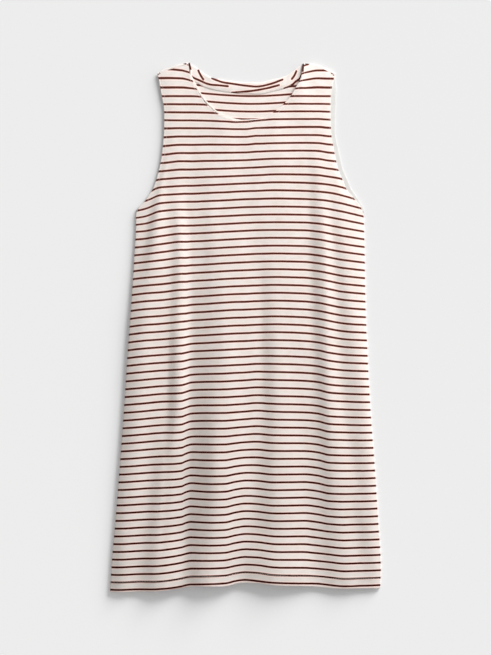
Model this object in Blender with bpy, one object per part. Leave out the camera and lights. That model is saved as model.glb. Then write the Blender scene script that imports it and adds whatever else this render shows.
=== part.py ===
"""A sleeveless knit tank dress, laid flat on its back.

The dress lies in the XY plane with the neck towards +Y and the hem towards -Y, its front upwards
and its back's outside on z = 0. Tables are in millimetres and the mesh is in metres. Each panel is
a thin wall on a grid: columns run from the left edge to the right edge, rows from hem to shoulder.
"""
from collections import namedtuple

import bpy
import numpy as np

MM = 0.001

# Cloth and sewing, in millimetres
WALL = 1.2                  # thickness of the knit
HEM_WALL = 1.9              # thickness where the hem is turned up
HEM_TURN = 20.0             # depth of the turned hem
HEM_STEP = 2.0              # the wall thins over this height above the turn
GAP = 0.3                   # between pieces that are sewn together
RIM_WIDTH = 2.7             # rolled edge strips, seen from above
RIM_HEIGHT = 1.9
SPREAD_WIDTH = 8.4          # the right armhole's strip lies spread out flat along its middle
SPREAD_FROM_UNDERARM = 60.0 # it widens over this length above the underarm
SPREAD_FROM_TIP = 34.0      # and narrows again over this length below the shoulder tip
FACING_WIDTH = 20.0         # strip turned inside the back neck
BACK_HEM_LIFT = 3.0         # the back's hem ends this far above the front's

# How the sides of the two panels meet
BACK_RISE = 1.0             # the back's edge curls up this much at a seam
BACK_RISE_WIDTH = 8.0
SIDE_SEAM_HEIGHT = 3.0      # middle of the front's wall at a side seam
ARMHOLE_HEIGHT = 4.0        # middle of the front's wall along an armhole
NECK_POINT_HEIGHT = 3.8     # middle of the front's wall where neck and shoulder meet
SHOULDER_ROUND = 14.0       # the front drops to the shoulder seam over this depth
UNDERARM_BLEND = 25.0       # seam heights change over this length below the underarm
ROUND_SIDE = 2.3            # steepness of the rounded side, against a straight slope
BACK_HEIGHT = WALL / 2
RIM_TURN = 1.45             # radius of a strip's turn from the front edge to the back edge
RIM_LIFT = 0.1              # between the armhole strips and the ground
RIM_END = 1.0               # the turns stay this far inside the panels' corners

# Grid sizes
SHOULDER_COLUMNS = 8
NECK_COLUMNS = 28
HEM_ROWS = 3                # the hem, the top of its turn, and just above it
BODY_ROWS = 16
ARMHOLE_ROWS = 9
YOKE_ROWS = 7
BACK_SHOULDER_COLUMNS = 5
BACK_NECK_COLUMNS = 18
BACK_BODY_ROWS = 8
YOKE_LEVEL = 350.0          # height of the last level row, just below the scoop
EDGE_CROWDING = 1.6         # columns crowd towards the sides by this power
UNDERARM_CROWDING = 1.35    # rows crowd towards the underarm by this power

Section = namedtuple("Section", "name height left right")

# Left and right edges of the laid dress at each height
SIDE_SEAMS = [
    Section("hem", -474, -243.6, 242.0),
    Section("low_hem", -430, -241.3, 243.5),
    Section("thigh", -350, -234.5, 239.0),
    Section("hip", -250, -226.5, 232.6),
    Section("high_hip", -150, -219.2, 225.1),
    Section("waist", -50, -212.7, 219.7),
    Section("rib", 50, -205.4, 215.8),
    Section("bust", 150, -199.0, 214.2),
    Section("underarm", 210, -195.2, 211.5),
]
ARMHOLES = [
    Section("underarm", 210, -195.2, 211.5),
    Section("low_curve", 217, -189.5, 208.0),
    Section("curve", 224, -181.8, 202.9),
    Section("high_curve", 235, -173.8, 193.8),
    Section("side_chest", 247, -165.7, 183.6),
    Section("chest", 262, -160.0, 177.5),
    Section("high_chest", 280, -154.8, 169.7),
    Section("narrowing", 310, -149.1, 162.5),
    Section("narrowest", 355, -145.2, 155.0),
    Section("strap", 386, -145.0, 155.6),
    Section("high_strap", 417, -150.0, 156.8),
    Section("shoulder_tip", 453, -156.8, 161.3),
]

Point = namedtuple("Point", "x y")
LEFT_SHOULDER = [
    Point(-156.8, 453.0), Point(-138.1, 462.9), Point(-125.5, 466.9), Point(-101.4, 473.1),
]
RIGHT_SHOULDER = [
    Point(103.2, 472.2), Point(119.3, 470.4), Point(133.6, 466.9), Point(161.3, 453.0),
]
FRONT_NECK = [
    Point(-101.4, 473.1), Point(-92.2, 447.0), Point(-80.5, 418.6), Point(-62.1, 396.3),
    Point(-41.0, 380.8), Point(-4.0, 371.3), Point(24.0, 373.4), Point(54.0, 386.5),
    Point(71.5, 401.0), Point(84.6, 416.5), Point(92.0, 431.0), Point(100.6, 449.0),
    Point(103.2, 472.2),
]
BACK_NECK = [
    Point(-101.4, 473.1), Point(-86.2, 463.6), Point(-73.7, 453.5), Point(-61.2, 447.4),
    Point(-41.0, 443.0), Point(0.0, 438.3), Point(22.8, 437.6), Point(45.0, 442.3),
    Point(72.0, 449.2), Point(86.0, 458.5), Point(103.2, 472.2),
]
HEM_LINE = [
    Point(-243.6, -473.1), Point(-170.0, -471.0), Point(-125.0, -466.0), Point(-82.6, -460.4),
    Point(-38.0, -461.6), Point(-10.0, -456.4), Point(20.0, -456.2), Point(60.0, -460.0),
    Point(107.0, -461.8), Point(162.0, -466.3), Point(242.0, -466.5),
]

# Fold lines of the front, from left to right. At each named level: how far across the line lies,
# and how high the middle of the wall stands there.
LEVELS = {
    "strap": 435, "yoke": 360, "arm": 250, "bust": 140,
    "waist": 0, "hip": -140, "thigh": -290, "hem": -466,
}
Fold = namedtuple("Fold", "name strap yoke arm bust waist hip thigh hem")
FOLD_ACROSS = [
    Fold("left_shelf", -145, -137, -158, -186, -204, -212, -224, -236),
    Fold("left_roll", -136, -130, -150, -165, -184, -195, -213, -222),
    Fold("left_hollow", -126, -118, -141, -135, -140, -143, -172, -198),
    Fold("left_pleat", -115, -106, -127, -119, -121, -121, -145, -151),
    Fold("pleat_foot", -95, -90, -104, -95, -93, -97, -104, -115),
    Fold("main_ridge", -42, -42, -42, -42, -42, -47, -51, -65),
    Fold("centre_hollow", 8, 8, 9, 22, 26, 30, 17, 0),
    Fold("centre_ridge", 70, 60, 61, 54, 55, 55, 55, 49),
    Fold("right_hollow", 98, 104, 112, 112, 114, 116, 119, 130),
    Fold("right_fold", 112, 122, 135, 142, 146, 150, 162, 178),
    Fold("right_dip", 132, 134, 152, 157, 166, 178, 196, 207),
    Fold("right_roll", 148, 146, 166, 180, 193, 207, 216, 225),
]
FOLD_HEIGHT = [
    Fold("left_shelf", 4.1, 4.1, 4.2, 4.9, 7.2, 7.0, 6.6, 5.6),
    Fold("left_roll", 4.3, 4.3, 6.0, 10.5, 10.5, 9.5, 9.0, 8.0),
    Fold("left_hollow", 4.4, 4.4, 5.2, 7.4, 6.5, 5.0, 4.5, 6.0),
    Fold("left_pleat", 4.3, 4.4, 5.4, 8.0, 8.0, 7.5, 7.0, 12.5),
    Fold("pleat_foot", 4.2, 4.2, 4.0, 4.0, 3.8, 4.0, 3.8, 6.5),
    Fold("main_ridge", 4.8, 4.8, 4.8, 7.0, 9.5, 12.5, 16.5, 17.5),
    Fold("centre_hollow", 5.0, 4.4, 4.2, 4.2, 4.2, 5.0, 5.5, 7.5),
    Fold("centre_ridge", 6.0, 5.0, 4.8, 5.5, 7.0, 8.5, 10.5, 9.5),
    Fold("right_hollow", 6.4, 4.4, 4.0, 3.8, 3.6, 3.6, 3.6, 4.5),
    Fold("right_fold", 5.0, 4.8, 6.6, 8.5, 8.8, 9.5, 9.0, 7.5),
    Fold("right_dip", 4.6, 4.8, 5.8, 6.4, 6.0, 5.5, 5.5, 5.5),
    Fold("right_roll", 4.5, 4.6, 5.6, 8.0, 8.5, 7.5, 6.8, 6.0),
]
LEAST_FOLD_WIDTH = 3.0      # fold lines stay this far from the edge and from each other

CREAM = (0.80, 0.76, 0.70, 1.0)


def clear_scene():
    for item in list(bpy.data.objects):
        bpy.data.objects.remove(item, do_unlink=True)


def smooth_through(knots, values, at, end_slope=1.0):
    """A curve through the knots that never overshoots them (monotone cubic), one row of knots for
    each place; end_slope steepens the first and the last stretch."""
    step = np.diff(knots, axis=1)
    slope = np.diff(values, axis=1) / step
    before, after = slope[:, :-1], slope[:, 1:]
    same_way = before * after > 0
    weight_before = step[:, :-1] + 2 * step[:, 1:]
    weight_after = 2 * step[:, :-1] + step[:, 1:]
    safe_before = np.where(same_way, before, 1.0)
    safe_after = np.where(same_way, after, 1.0)
    mean = (weight_before + weight_after) / (weight_before / safe_before + weight_after / safe_after)
    tangent = np.zeros_like(knots)
    tangent[:, 1:-1] = np.where(same_way, mean, 0.0)
    tangent[:, 0] = slope[:, 0] * end_slope
    tangent[:, -1] = slope[:, -1] * end_slope
    part = np.sum(at[:, None] >= knots[:, 1:-1], axis=1)
    row = np.arange(len(at))
    width = step[row, part]
    t = np.clip((at - knots[row, part]) / width, 0.0, 1.0)
    start, finish = values[row, part], values[row, part + 1]
    rise = (1 + 2 * t) * (1 - t) ** 2 * start + t * t * (3 - 2 * t) * finish
    return rise + width * (t * (1 - t) ** 2 * tangent[row, part] - t * t * (1 - t) * tangent[row, part + 1])


def along(table_places, table_values, at):
    """The same curve for one table, read at many places."""
    at = np.asarray(at, dtype=float)
    flat = np.clip(at.ravel(), table_places[0], table_places[-1])
    knots = np.broadcast_to(np.asarray(table_places, dtype=float), (flat.size, len(table_places)))
    values = np.broadcast_to(np.asarray(table_values, dtype=float), (flat.size, len(table_values)))
    return smooth_through(knots, values, flat).reshape(at.shape)


def smooth_line(points, steps=8):
    """A smooth line through points: x and y each follow a monotone cubic of the length run."""
    corners = np.array([(point.x, point.y) for point in points], dtype=float)
    lengths = np.concatenate(([0.0], np.cumsum(np.linalg.norm(np.diff(corners, axis=0), axis=1))))
    stations = np.arange(len(points))
    at = np.interp(np.linspace(0, len(points) - 1, steps * (len(points) - 1) + 1), stations, lengths)
    return np.stack([along(lengths, corners[:, 0], at), along(lengths, corners[:, 1], at)], axis=1)


def offset_line(line, distance):
    """The line moved sideways by a distance, to the right of its direction."""
    direction = np.gradient(line, axis=0)
    direction /= np.linalg.norm(direction, axis=1)[:, None]
    return line + distance * np.stack([direction[:, 1], -direction[:, 0]], axis=1)


def edge_table(sections, side):
    return [Point(getattr(section, side), section.height) for section in sections]


def ease(t):
    t = np.clip(t, 0.0, 1.0)
    return t * t * (3 - 2 * t)


# Outline lines, in millimetres. Armhole lines run from underarm to shoulder tip.
LEFT_ARMHOLE = smooth_line(edge_table(ARMHOLES, "left"))
RIGHT_ARMHOLE = smooth_line(edge_table(ARMHOLES, "right"))
FRONT_SCOOP = smooth_line(FRONT_NECK)
BACK_SCOOP = smooth_line(BACK_NECK)


def cut_armhole(armhole, side):
    """The panel's own edge inside the strip: the armhole moved in by the strip and its gap, and
    carried on along its first direction until it meets the side seam."""
    inward = 1 if side == "left" else -1
    cut = offset_line(armhole, inward * (RIM_WIDTH + GAP))
    first = cut[0] - cut[1]
    first /= np.linalg.norm(first)
    seam_x = getattr(SIDE_SEAMS[-1], side)
    corner = cut[0] + first * (seam_x - cut[0][0]) / first[0]
    return np.vstack([corner, cut])


LEFT_CUT = cut_armhole(LEFT_ARMHOLE, "left")
RIGHT_CUT = cut_armhole(RIGHT_ARMHOLE, "right")


def panel_edge(y, side):
    """Left or right edge of either panel at a height: the side seam, then the cut armhole."""
    cut = LEFT_CUT if side == "left" else RIGHT_CUT
    heights = [section.height for section in SIDE_SEAMS]
    seam = along(heights, [getattr(section, side) for section in SIDE_SEAMS], y)
    return np.where(y < cut[0][1], seam, np.interp(y, cut[:, 1], cut[:, 0]))


def armhole_levels(side):
    """Heights of the rows beside an armhole, crowded where it curves at the underarm."""
    cut = LEFT_CUT if side == "left" else RIGHT_CUT
    low = cut[0][1]
    curve = low + (YOKE_LEVEL - low) * np.linspace(0, 1, ARMHOLE_ROWS + 1) ** UNDERARM_CROWDING
    strap = YOKE_LEVEL + (cut[-1][1] - YOKE_LEVEL) * np.linspace(0, 1, YOKE_ROWS + 1)
    return np.concatenate([curve, strap[1:]])


def top_edge(neck_line):
    """Top boundary of a panel from shoulder tip to shoulder tip, as fraction across and height."""
    left = smooth_line(LEFT_SHOULDER)
    right = smooth_line(RIGHT_SHOULDER)
    left = left[left[:, 0] > LEFT_CUT[-1][0]]
    right = right[right[:, 0] < RIGHT_CUT[-1][0]]
    neck = neck_line[(neck_line[:, 0] > left[-1][0]) & (neck_line[:, 0] < right[0][0])]
    left_shoulder = left[left[:, 0] <= neck[0][0]]
    right_shoulder = right[right[:, 0] >= neck[-1][0]]
    line = np.vstack([left_shoulder, neck, right_shoulder])
    low, high = panel_edge(line[:, 1], "left"), panel_edge(line[:, 1], "right")
    across = (line[:, 0] - low) / (high - low)
    corners = (across[len(left_shoulder) - 1], across[-len(right_shoulder)])
    return across, line[:, 1], corners


def columns_across(corners, shoulder_columns, neck_columns):
    """Fractions across a panel: crowded at the sides and at the steep ends of the scoop."""
    side = np.linspace(0, 1, shoulder_columns + 1) ** EDGE_CROWDING
    even = np.linspace(0, 1, neck_columns + 1)
    middle = 0.5 * even + 0.25 * (1 - np.cos(np.pi * even))
    left, right = corners
    scoop = left + (right - left) * middle
    return np.concatenate([left * side[:-1], scoop, 1 - (1 - right) * side[::-1][1:]])


def panel_grid(neck_line, counts, hem_lift=0.0):
    """X and Y of a panel's grid. Rows: the hem and its turn, level rows up the body, level rows
    beside the armholes, then rows that bend to the shoulders and the neck."""
    across, tops, corners = top_edge(neck_line)
    shoulder_columns, neck_columns, body_rows = counts
    c = columns_across(corners, shoulder_columns, neck_columns)
    top = np.interp(c, across, tops)
    hem_x = SIDE_SEAMS[0].left + c * (SIDE_SEAMS[0].right - SIDE_SEAMS[0].left)
    hem = along([p.x for p in HEM_LINE], [p.y for p in HEM_LINE], hem_x) + hem_lift
    underarm = LEFT_CUT[0][1] + c * (RIGHT_CUT[0][1] - LEFT_CUT[0][1])
    turn = hem + HEM_TURN
    above = turn + HEM_STEP
    rows = [hem, turn, above]
    rows += [above + (underarm - above) * t for t in np.linspace(0, 1, body_rows + 1)[1:]]
    curve = np.linspace(0, 1, ARMHOLE_ROWS + 1)[1:] ** UNDERARM_CROWDING
    rows += [underarm + (YOKE_LEVEL - underarm) * t for t in curve]
    rows += [YOKE_LEVEL + (top - YOKE_LEVEL) * t for t in np.linspace(0, 1, YOKE_ROWS + 1)[1:]]
    y = np.stack(rows, axis=1)
    low, high = panel_edge(y, "left"), panel_edge(y, "right")
    x = low + c[:, None] * (high - low)
    wall = np.full(y.shape, WALL)
    wall[:, :2] = HEM_WALL
    return x, y, wall


def shoulder_drop(x, y):
    """0 away from the shoulder seams, 1 on them, and the seam's share towards the neck point."""
    left, right = smooth_line(LEFT_SHOULDER), smooth_line(RIGHT_SHOULDER)
    left_seam = np.interp(x, left[:, 0], left[:, 1])
    right_seam = np.interp(x, right[:, 0], right[:, 1])
    on_left = x < left[-1][0] + GAP
    on_right = x > right[0][0] - GAP
    seam = np.where(on_left, left_seam, np.where(on_right, right_seam, np.inf))
    near = np.clip(1 - (seam - y) / SHOULDER_ROUND, 0.0, 1.0) ** ROUND_SIDE
    along_left = (x - left[0][0]) / (left[-1][0] - left[0][0])
    along_right = (right[-1][0] - x) / (right[-1][0] - right[0][0])
    return near, np.clip(np.where(x < 0, along_left, along_right), 0.0, 1.0)


def front_height(x, y):
    """Middle of the front's wall: a curve through the seam, every fold line and the other seam at
    that height, lowered to the seam at the shoulders."""
    shape = x.shape
    x, y = x.ravel(), y.ravel()
    heights = list(LEVELS.values())[::-1]
    low, high = panel_edge(y, "left"), panel_edge(y, "right")
    at_seam = ease((SIDE_SEAMS[-1].height - y) / UNDERARM_BLEND)
    edge = ARMHOLE_HEIGHT + (SIDE_SEAM_HEIGHT - ARMHOLE_HEIGHT) * at_seam
    places = [low]
    stands = [edge]
    for across, height in zip(FOLD_ACROSS, FOLD_HEIGHT):
        places.append(along(heights, list(across[1:])[::-1], y))
        stands.append(along(heights, list(height[1:])[::-1], y))
    places.append(high)
    stands.append(edge)
    places = np.stack(places, axis=1)
    room = LEAST_FOLD_WIDTH * np.arange(places.shape[1])
    places = np.clip(places, low[:, None] + room, high[:, None] - room[::-1])
    steep = 1 + (ROUND_SIDE - 1) * at_seam
    z = smooth_through(places, np.stack(stands, axis=1), x, steep)
    near, to_neck = shoulder_drop(x, y)
    seam = SIDE_SEAM_HEIGHT + (NECK_POINT_HEIGHT - SIDE_SEAM_HEIGHT) * to_neck
    return (z + (seam - z) * near).reshape(shape)


def back_height(x, y):
    """Middle of the back's wall: flat on the ground, its edges curled up at the side and shoulder
    seams."""
    low, high = panel_edge(y, "left"), panel_edge(y, "right")
    inside = np.minimum(x - low, high - x)
    below = ease((LEFT_CUT[0][1] - y) / UNDERARM_BLEND)
    side = np.clip(1 - inside / BACK_RISE_WIDTH, 0.0, 1.0) ** 2 * below
    near, to_neck = shoulder_drop(x, y)
    return BACK_HEIGHT + BACK_RISE * np.maximum(side, near * (1 - to_neck))


def grid_normals(points):
    """Unit normals of a grid of points, upwards."""
    across = np.gradient(points, axis=0)
    up = np.gradient(points, axis=1)
    normal = np.cross(across, up)
    return normal / np.linalg.norm(normal, axis=2)[:, :, None]


def cloth(name, x, y, z, wall):
    """A closed wall on a grid: the middle surface moved half the wall up and down, and joined round
    its border."""
    middle = np.stack([x, y, z], axis=2)
    normal = grid_normals(middle)
    half = wall[:, :, None] / 2
    outer = middle + normal * half
    inner = middle - normal * half
    columns, rows = x.shape
    count = columns * rows
    index = np.arange(count).reshape(columns, rows)
    quads = np.stack([index[:-1, :-1], index[1:, :-1], index[1:, 1:], index[:-1, 1:]], axis=2).reshape(-1, 4)
    border = np.concatenate([index[:, 0], index[-1, 1:], index[-2::-1, -1], index[0, -2:0:-1]])
    following = np.roll(border, -1)
    rim = np.stack([border, border + count, following + count, following], axis=1)
    faces = np.concatenate([quads, quads[:, ::-1] + count, rim])
    return add_mesh(name, np.concatenate([outer.reshape(-1, 3), inner.reshape(-1, 3)]), faces.tolist())


def add_mesh(name, points, faces):
    mesh = bpy.data.meshes.new(name)
    mesh.from_pydata((points * MM).tolist(), [], faces)
    mesh.update()
    mesh.shade_smooth()
    mesh.set_sharp_from_angle(angle=np.radians(50))
    item = bpy.data.objects.new(name, mesh)
    bpy.context.scene.collection.objects.link(item)
    material = bpy.data.materials.new(name + "_knit")
    material.use_nodes = True
    shader = material.node_tree.nodes["Principled BSDF"]
    shader.inputs["Base Color"].default_value = CREAM
    shader.inputs["Roughness"].default_value = 0.9
    shader.inputs["Metallic"].default_value = 0.0
    mesh.materials.append(material)
    return item


def strip_tube(name, path, sideways, width, closed, sides=8):
    """A soft strip along a path: an oval of the given width by RIM_HEIGHT, its width along the
    level sideways direction and its height square to that and to the path."""
    if closed:
        ahead = np.roll(path, -1, axis=0) - np.roll(path, 1, axis=0)
    else:
        ahead = np.gradient(path, axis=0)
    ahead /= np.linalg.norm(ahead, axis=1)[:, None]
    upward = np.cross(sideways, ahead)
    upward /= np.linalg.norm(upward, axis=1)[:, None]
    angle = 2 * np.pi * np.arange(sides) / sides
    half = np.broadcast_to(width, len(path))[:, None, None] / 2
    ring = (np.cos(angle)[None, :, None] * half * sideways[:, None, :]
            + np.sin(angle)[None, :, None] * RIM_HEIGHT / 2 * upward[:, None, :])
    points = (path[:, None, :] + ring).reshape(-1, 3)
    index = np.arange(len(points)).reshape(len(path), sides)
    after = np.roll(index, -1, axis=0) if closed else index[1:]
    before = index if closed else index[:-1]
    quads = np.stack([before, after, np.roll(after, -1, axis=1), np.roll(before, -1, axis=1)], axis=2)
    faces = quads.reshape(-1, 4).tolist()
    if not closed:
        faces += [index[0].tolist(), index[-1][::-1].tolist()]
    return add_mesh(name, points, faces)


def thin_out(line, spacing):
    """The line read at even distances."""
    lengths = np.concatenate(([0.0], np.cumsum(np.linalg.norm(np.diff(line, axis=0), axis=1))))
    at = np.linspace(0, lengths[-1], int(round(lengths[-1] / spacing)) + 1)
    return np.stack([np.interp(at, lengths, line[:, 0]), np.interp(at, lengths, line[:, 1])], axis=1)


def beside(corners, distance):
    """A run of straight stretches beside the given one, to the right of its direction, and the
    level sideways directions of its corners. The distance is one number or one for each corner."""
    ahead = np.diff(corners, axis=0)
    ahead /= np.linalg.norm(ahead, axis=1)[:, None]
    right = np.stack([ahead[:, 1], -ahead[:, 0]], axis=1)
    before = np.vstack([right[:1], right])
    after = np.vstack([right, right[-1:]])
    mitre = (before + after) / (1 + np.sum(before * after, axis=1))[:, None]
    level = mitre / np.linalg.norm(mitre, axis=1)[:, None]
    reach = np.broadcast_to(distance, len(corners))[:, None]
    return corners + reach * mitre, np.column_stack([level, np.zeros(len(level))])


def shortened(line, reach):
    """The line with both ends drawn back."""
    start = line[0] + (line[1] - line[0]) / np.linalg.norm(line[1] - line[0]) * reach
    finish = line[-1] - (line[-1] - line[-2]) / np.linalg.norm(line[-1] - line[-2]) * reach
    return np.vstack([start, line[1:-1], finish])


def half_turn(end, ahead, start_up):
    """A half circle in an upright plane, from the front stretch of a strip to its back stretch or
    the other way, past the end of the line."""
    angle = np.radians([30, 60, 90, 120, 150])[:, None]
    ahead = np.append(ahead / np.linalg.norm(ahead), 0)
    upright = np.array([0, 0, start_up])
    centre = np.append(end, RIM_HEIGHT / 2 + RIM_LIFT + RIM_TURN)
    return centre + RIM_TURN * (np.sin(angle) * ahead + np.cos(angle) * upright)


def strip_width(edge, side):
    """Width of an armhole strip along the panels' edge: rolled up on the left, and on the right
    spread out between its ends."""
    if side == "left":
        return np.full(len(edge), RIM_WIDTH)
    run = np.concatenate(([0.0], np.cumsum(np.linalg.norm(np.diff(edge, axis=0), axis=1))))
    spread = ease(run / SPREAD_FROM_UNDERARM) * ease((run[-1] - run) / SPREAD_FROM_TIP)
    return RIM_WIDTH + (SPREAD_WIDTH - RIM_WIDTH) * spread


def armhole_strip(name, side):
    """The strip round an armhole: up the front edge, over the shoulder tip, down the back edge and
    round the underarm. It runs beside the corners of the panels' own edge."""
    outward = -1 if side == "left" else 1
    heights = armhole_levels(side)
    edge = np.stack([panel_edge(heights, side), heights], axis=1)
    width = strip_width(edge, side)
    line, level = beside(edge, outward * (GAP + width / 2))
    line = shortened(line, RIM_TURN + RIM_HEIGHT / 2 + RIM_END)
    low = RIM_HEIGHT / 2 + RIM_LIFT
    front = np.column_stack([line, np.full(len(line), low + 2 * RIM_TURN)])
    back = np.column_stack([line, np.full(len(line), low)])[::-1]
    over = half_turn(line[-1], line[-1] - line[-2], 1)
    under = half_turn(line[0], line[0] - line[1], -1)
    path = np.vstack([front, over, back, under])
    turn = np.ones((len(over), 1))
    sideways = np.vstack([level, turn * level[-1], level[::-1], turn * level[0]])
    turned = np.full(len(over), RIM_WIDTH)
    widths = np.concatenate([width, turned, width[::-1], turned])
    return strip_tube(name, path, sideways, widths, closed=True)


def neck_edge_strip(name):
    """The rolled strip along the front neck, beside the corners of the front's own edge."""
    x, y, _ = front_grid()
    neck = slice(SHOULDER_COLUMNS, SHOULDER_COLUMNS + NECK_COLUMNS + 1)
    edge = np.stack([x[neck, -1], y[neck, -1]], axis=1)
    line, level = beside(edge, -(GAP + RIM_WIDTH / 2))
    path = np.column_stack([line, front_height(line[:, 0], line[:, 1])])
    return strip_tube(name, path, level, RIM_WIDTH, closed=False)


def back_neck_facing(name):
    """The strip turned inside the back neck: it follows the neck edge at a constant width."""
    line = thin_out(BACK_SCOOP, 9.0)
    inner = np.array([GAP, 4.0, FACING_WIDTH * 0.5, FACING_WIDTH])
    grid = np.stack([offset_line(line, distance) for distance in inner], axis=1)[:, ::-1]
    x, y = grid[:, :, 0], grid[:, :, 1]
    z = np.full(x.shape, 2 * BACK_HEIGHT + GAP + WALL / 2)
    return cloth(name, x, y, z, np.full(x.shape, WALL))


def front_grid():
    counts = (SHOULDER_COLUMNS, NECK_COLUMNS, BODY_ROWS)
    return panel_grid(offset_line(FRONT_SCOOP, RIM_WIDTH + GAP), counts)


def front_panel():
    x, y, wall = front_grid()
    z = front_height(x, y)
    z[:, :HEM_ROWS] += 1.5 * (HEM_WALL - WALL)
    return cloth("front", x, y, z, wall)


def back_panel():
    counts = (BACK_SHOULDER_COLUMNS, BACK_NECK_COLUMNS, BACK_BODY_ROWS)
    x, y, wall = panel_grid(BACK_SCOOP, counts, BACK_HEM_LIFT)
    z = back_height(x, y) + (wall - WALL) / 2
    return cloth("back", x, y, z, wall)


clear_scene()
front_panel()
back_panel()
neck_edge_strip("neck_strip_front")
back_neck_facing("neck_strip_back")
armhole_strip("armhole_strip_left", "left")
armhole_strip("armhole_strip_right", "right")
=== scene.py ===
"""The looks of a sleeveless striped knit tank dress, laid flat on its back.

The dress lies in the XY plane, its neck towards +Y and its front upwards. Tables are in millimetres
and the meshes in metres. Each panel is a surface of two parameters, across and up, given a wall.
The UV map "cloth" holds a point's place on the knit in millimetres: u along the courses, and v
across them, which is 0 on the first stripe below the front neck and grows towards the shoulders by
STRIPE_REPEAT for each stripe.
"""
from collections import namedtuple

import bpy
import numpy as np
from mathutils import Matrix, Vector


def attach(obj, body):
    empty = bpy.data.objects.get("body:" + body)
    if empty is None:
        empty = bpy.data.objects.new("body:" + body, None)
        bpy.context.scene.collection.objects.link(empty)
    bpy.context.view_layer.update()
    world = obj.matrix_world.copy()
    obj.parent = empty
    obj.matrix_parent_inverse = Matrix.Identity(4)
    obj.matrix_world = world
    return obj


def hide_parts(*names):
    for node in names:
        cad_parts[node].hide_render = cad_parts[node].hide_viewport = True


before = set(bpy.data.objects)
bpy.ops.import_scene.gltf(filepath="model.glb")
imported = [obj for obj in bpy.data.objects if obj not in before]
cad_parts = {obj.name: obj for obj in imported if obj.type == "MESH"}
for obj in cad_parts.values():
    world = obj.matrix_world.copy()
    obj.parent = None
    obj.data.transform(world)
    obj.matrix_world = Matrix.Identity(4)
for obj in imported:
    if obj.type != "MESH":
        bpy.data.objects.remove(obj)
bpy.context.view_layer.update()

MM = 0.001

# Cloth, in millimetres. The outer faces lie where the solids have theirs.
WALL = 1.2                  # wall of the solids
CLOTH = 0.8                 # the jersey seen here
HEM_WALL = 1.9              # where the hem is turned up
HEM_TURN = 20.0
HEM_STEP = 2.0
HEM_SWELL = 0.12            # how far the turned hem pushes the front's face up
BACK_HEM_LIFT = 3.0
GAP = 0.3
RIM_WIDTH = 2.7             # rolled strips at the neck and the left armhole
RIM_UNDER = 0.4             # how far the neck strip reaches in under the front
RIM_HEIGHT = 1.9
SPREAD_WIDTH = 8.4          # the right armhole's strip lies spread out flat
SPREAD_FROM_UNDERARM = 60.0
SPREAD_FROM_TIP = 34.0
FACING_WIDTH = 20.0
TUCK = 0.8                  # panels end this far inside the rolls that close their seams
LEFT_LAP = 2.7              # how far the front's edge laps over the left armhole strip
STRIP_UNDER = 3.0           # how far the armhole strips reach in under the front
LEFT_INSET = 1.6            # how far the side seams lie inside the solids' edges
RIGHT_INSET = 0.6

# Knit and stripes
STRIPE_REPEAT = 14.0
STRIPE_WIDTH = 3.3
BLUSH_WIDTH = 3.4           # dye spread beside a stripe
DYED_WIDTH = 0.9
WALE = 0.95                 # one column of stitches in the jersey
COURSE = 0.75

# Heights of the seams, as in the solids
BACK_HEIGHT = WALL / 2
BACK_RISE = 1.0
BACK_RISE_WIDTH = 8.0
SIDE_SEAM_HEIGHT = 3.0
LEFT_CURL = 0.8             # how much higher the left side seam curls up
SHOULDER_TIP_HEIGHT = 3.9
ARMHOLE_HEIGHT = 4.0
NECK_POINT_HEIGHT = 4.1
SHOULDER_ROUND = 14.0
UNDERARM_BLEND = 25.0
ROUND_SIDE = 2.3
RIM_LIFT = 0.1
STRIP_HEIGHT = 1.1          # one layer of an armhole strip, under the front's edge
LOWEST_FRONT = 2.8
YOKE_LEVEL = 350.0
EDGE_CROWDING = 1.6
UNDERARM_CROWDING = 1.35
YOKE_CROWDING = 1.4
LEAST_FOLD_WIDTH = 3.0

Section = namedtuple("Section", "name height left right")
SIDE_SEAMS = [
    Section("hem", -474, -243.6, 242.0),
    Section("low_hem", -430, -241.3, 243.5),
    Section("thigh", -350, -234.5, 239.0),
    Section("hip", -250, -226.5, 232.6),
    Section("high_hip", -150, -219.2, 225.1),
    Section("waist", -50, -212.7, 219.7),
    Section("rib", 50, -205.4, 215.8),
    Section("bust", 150, -199.0, 214.2),
    Section("underarm", 210, -195.2, 211.5),
]
ARMHOLES = [
    Section("underarm", 210, -195.2, 211.5),
    Section("low_curve", 217, -189.5, 208.0),
    Section("curve", 224, -181.8, 202.9),
    Section("high_curve", 235, -173.8, 193.8),
    Section("side_chest", 247, -165.7, 183.6),
    Section("chest", 262, -160.0, 177.5),
    Section("high_chest", 280, -154.8, 169.7),
    Section("narrowing", 310, -149.1, 162.5),
    Section("narrowest", 355, -145.2, 155.0),
    Section("strap", 386, -145.0, 155.6),
    Section("high_strap", 417, -150.0, 156.8),
    Section("shoulder_tip", 453, -156.8, 161.3),
]

Point = namedtuple("Point", "x y")
LEFT_SHOULDER = [
    Point(-156.8, 453.0), Point(-138.1, 462.9), Point(-125.5, 466.9), Point(-101.4, 473.1),
]
RIGHT_SHOULDER = [
    Point(103.2, 472.2), Point(119.3, 470.4), Point(133.6, 466.9), Point(161.3, 453.0),
]
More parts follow.
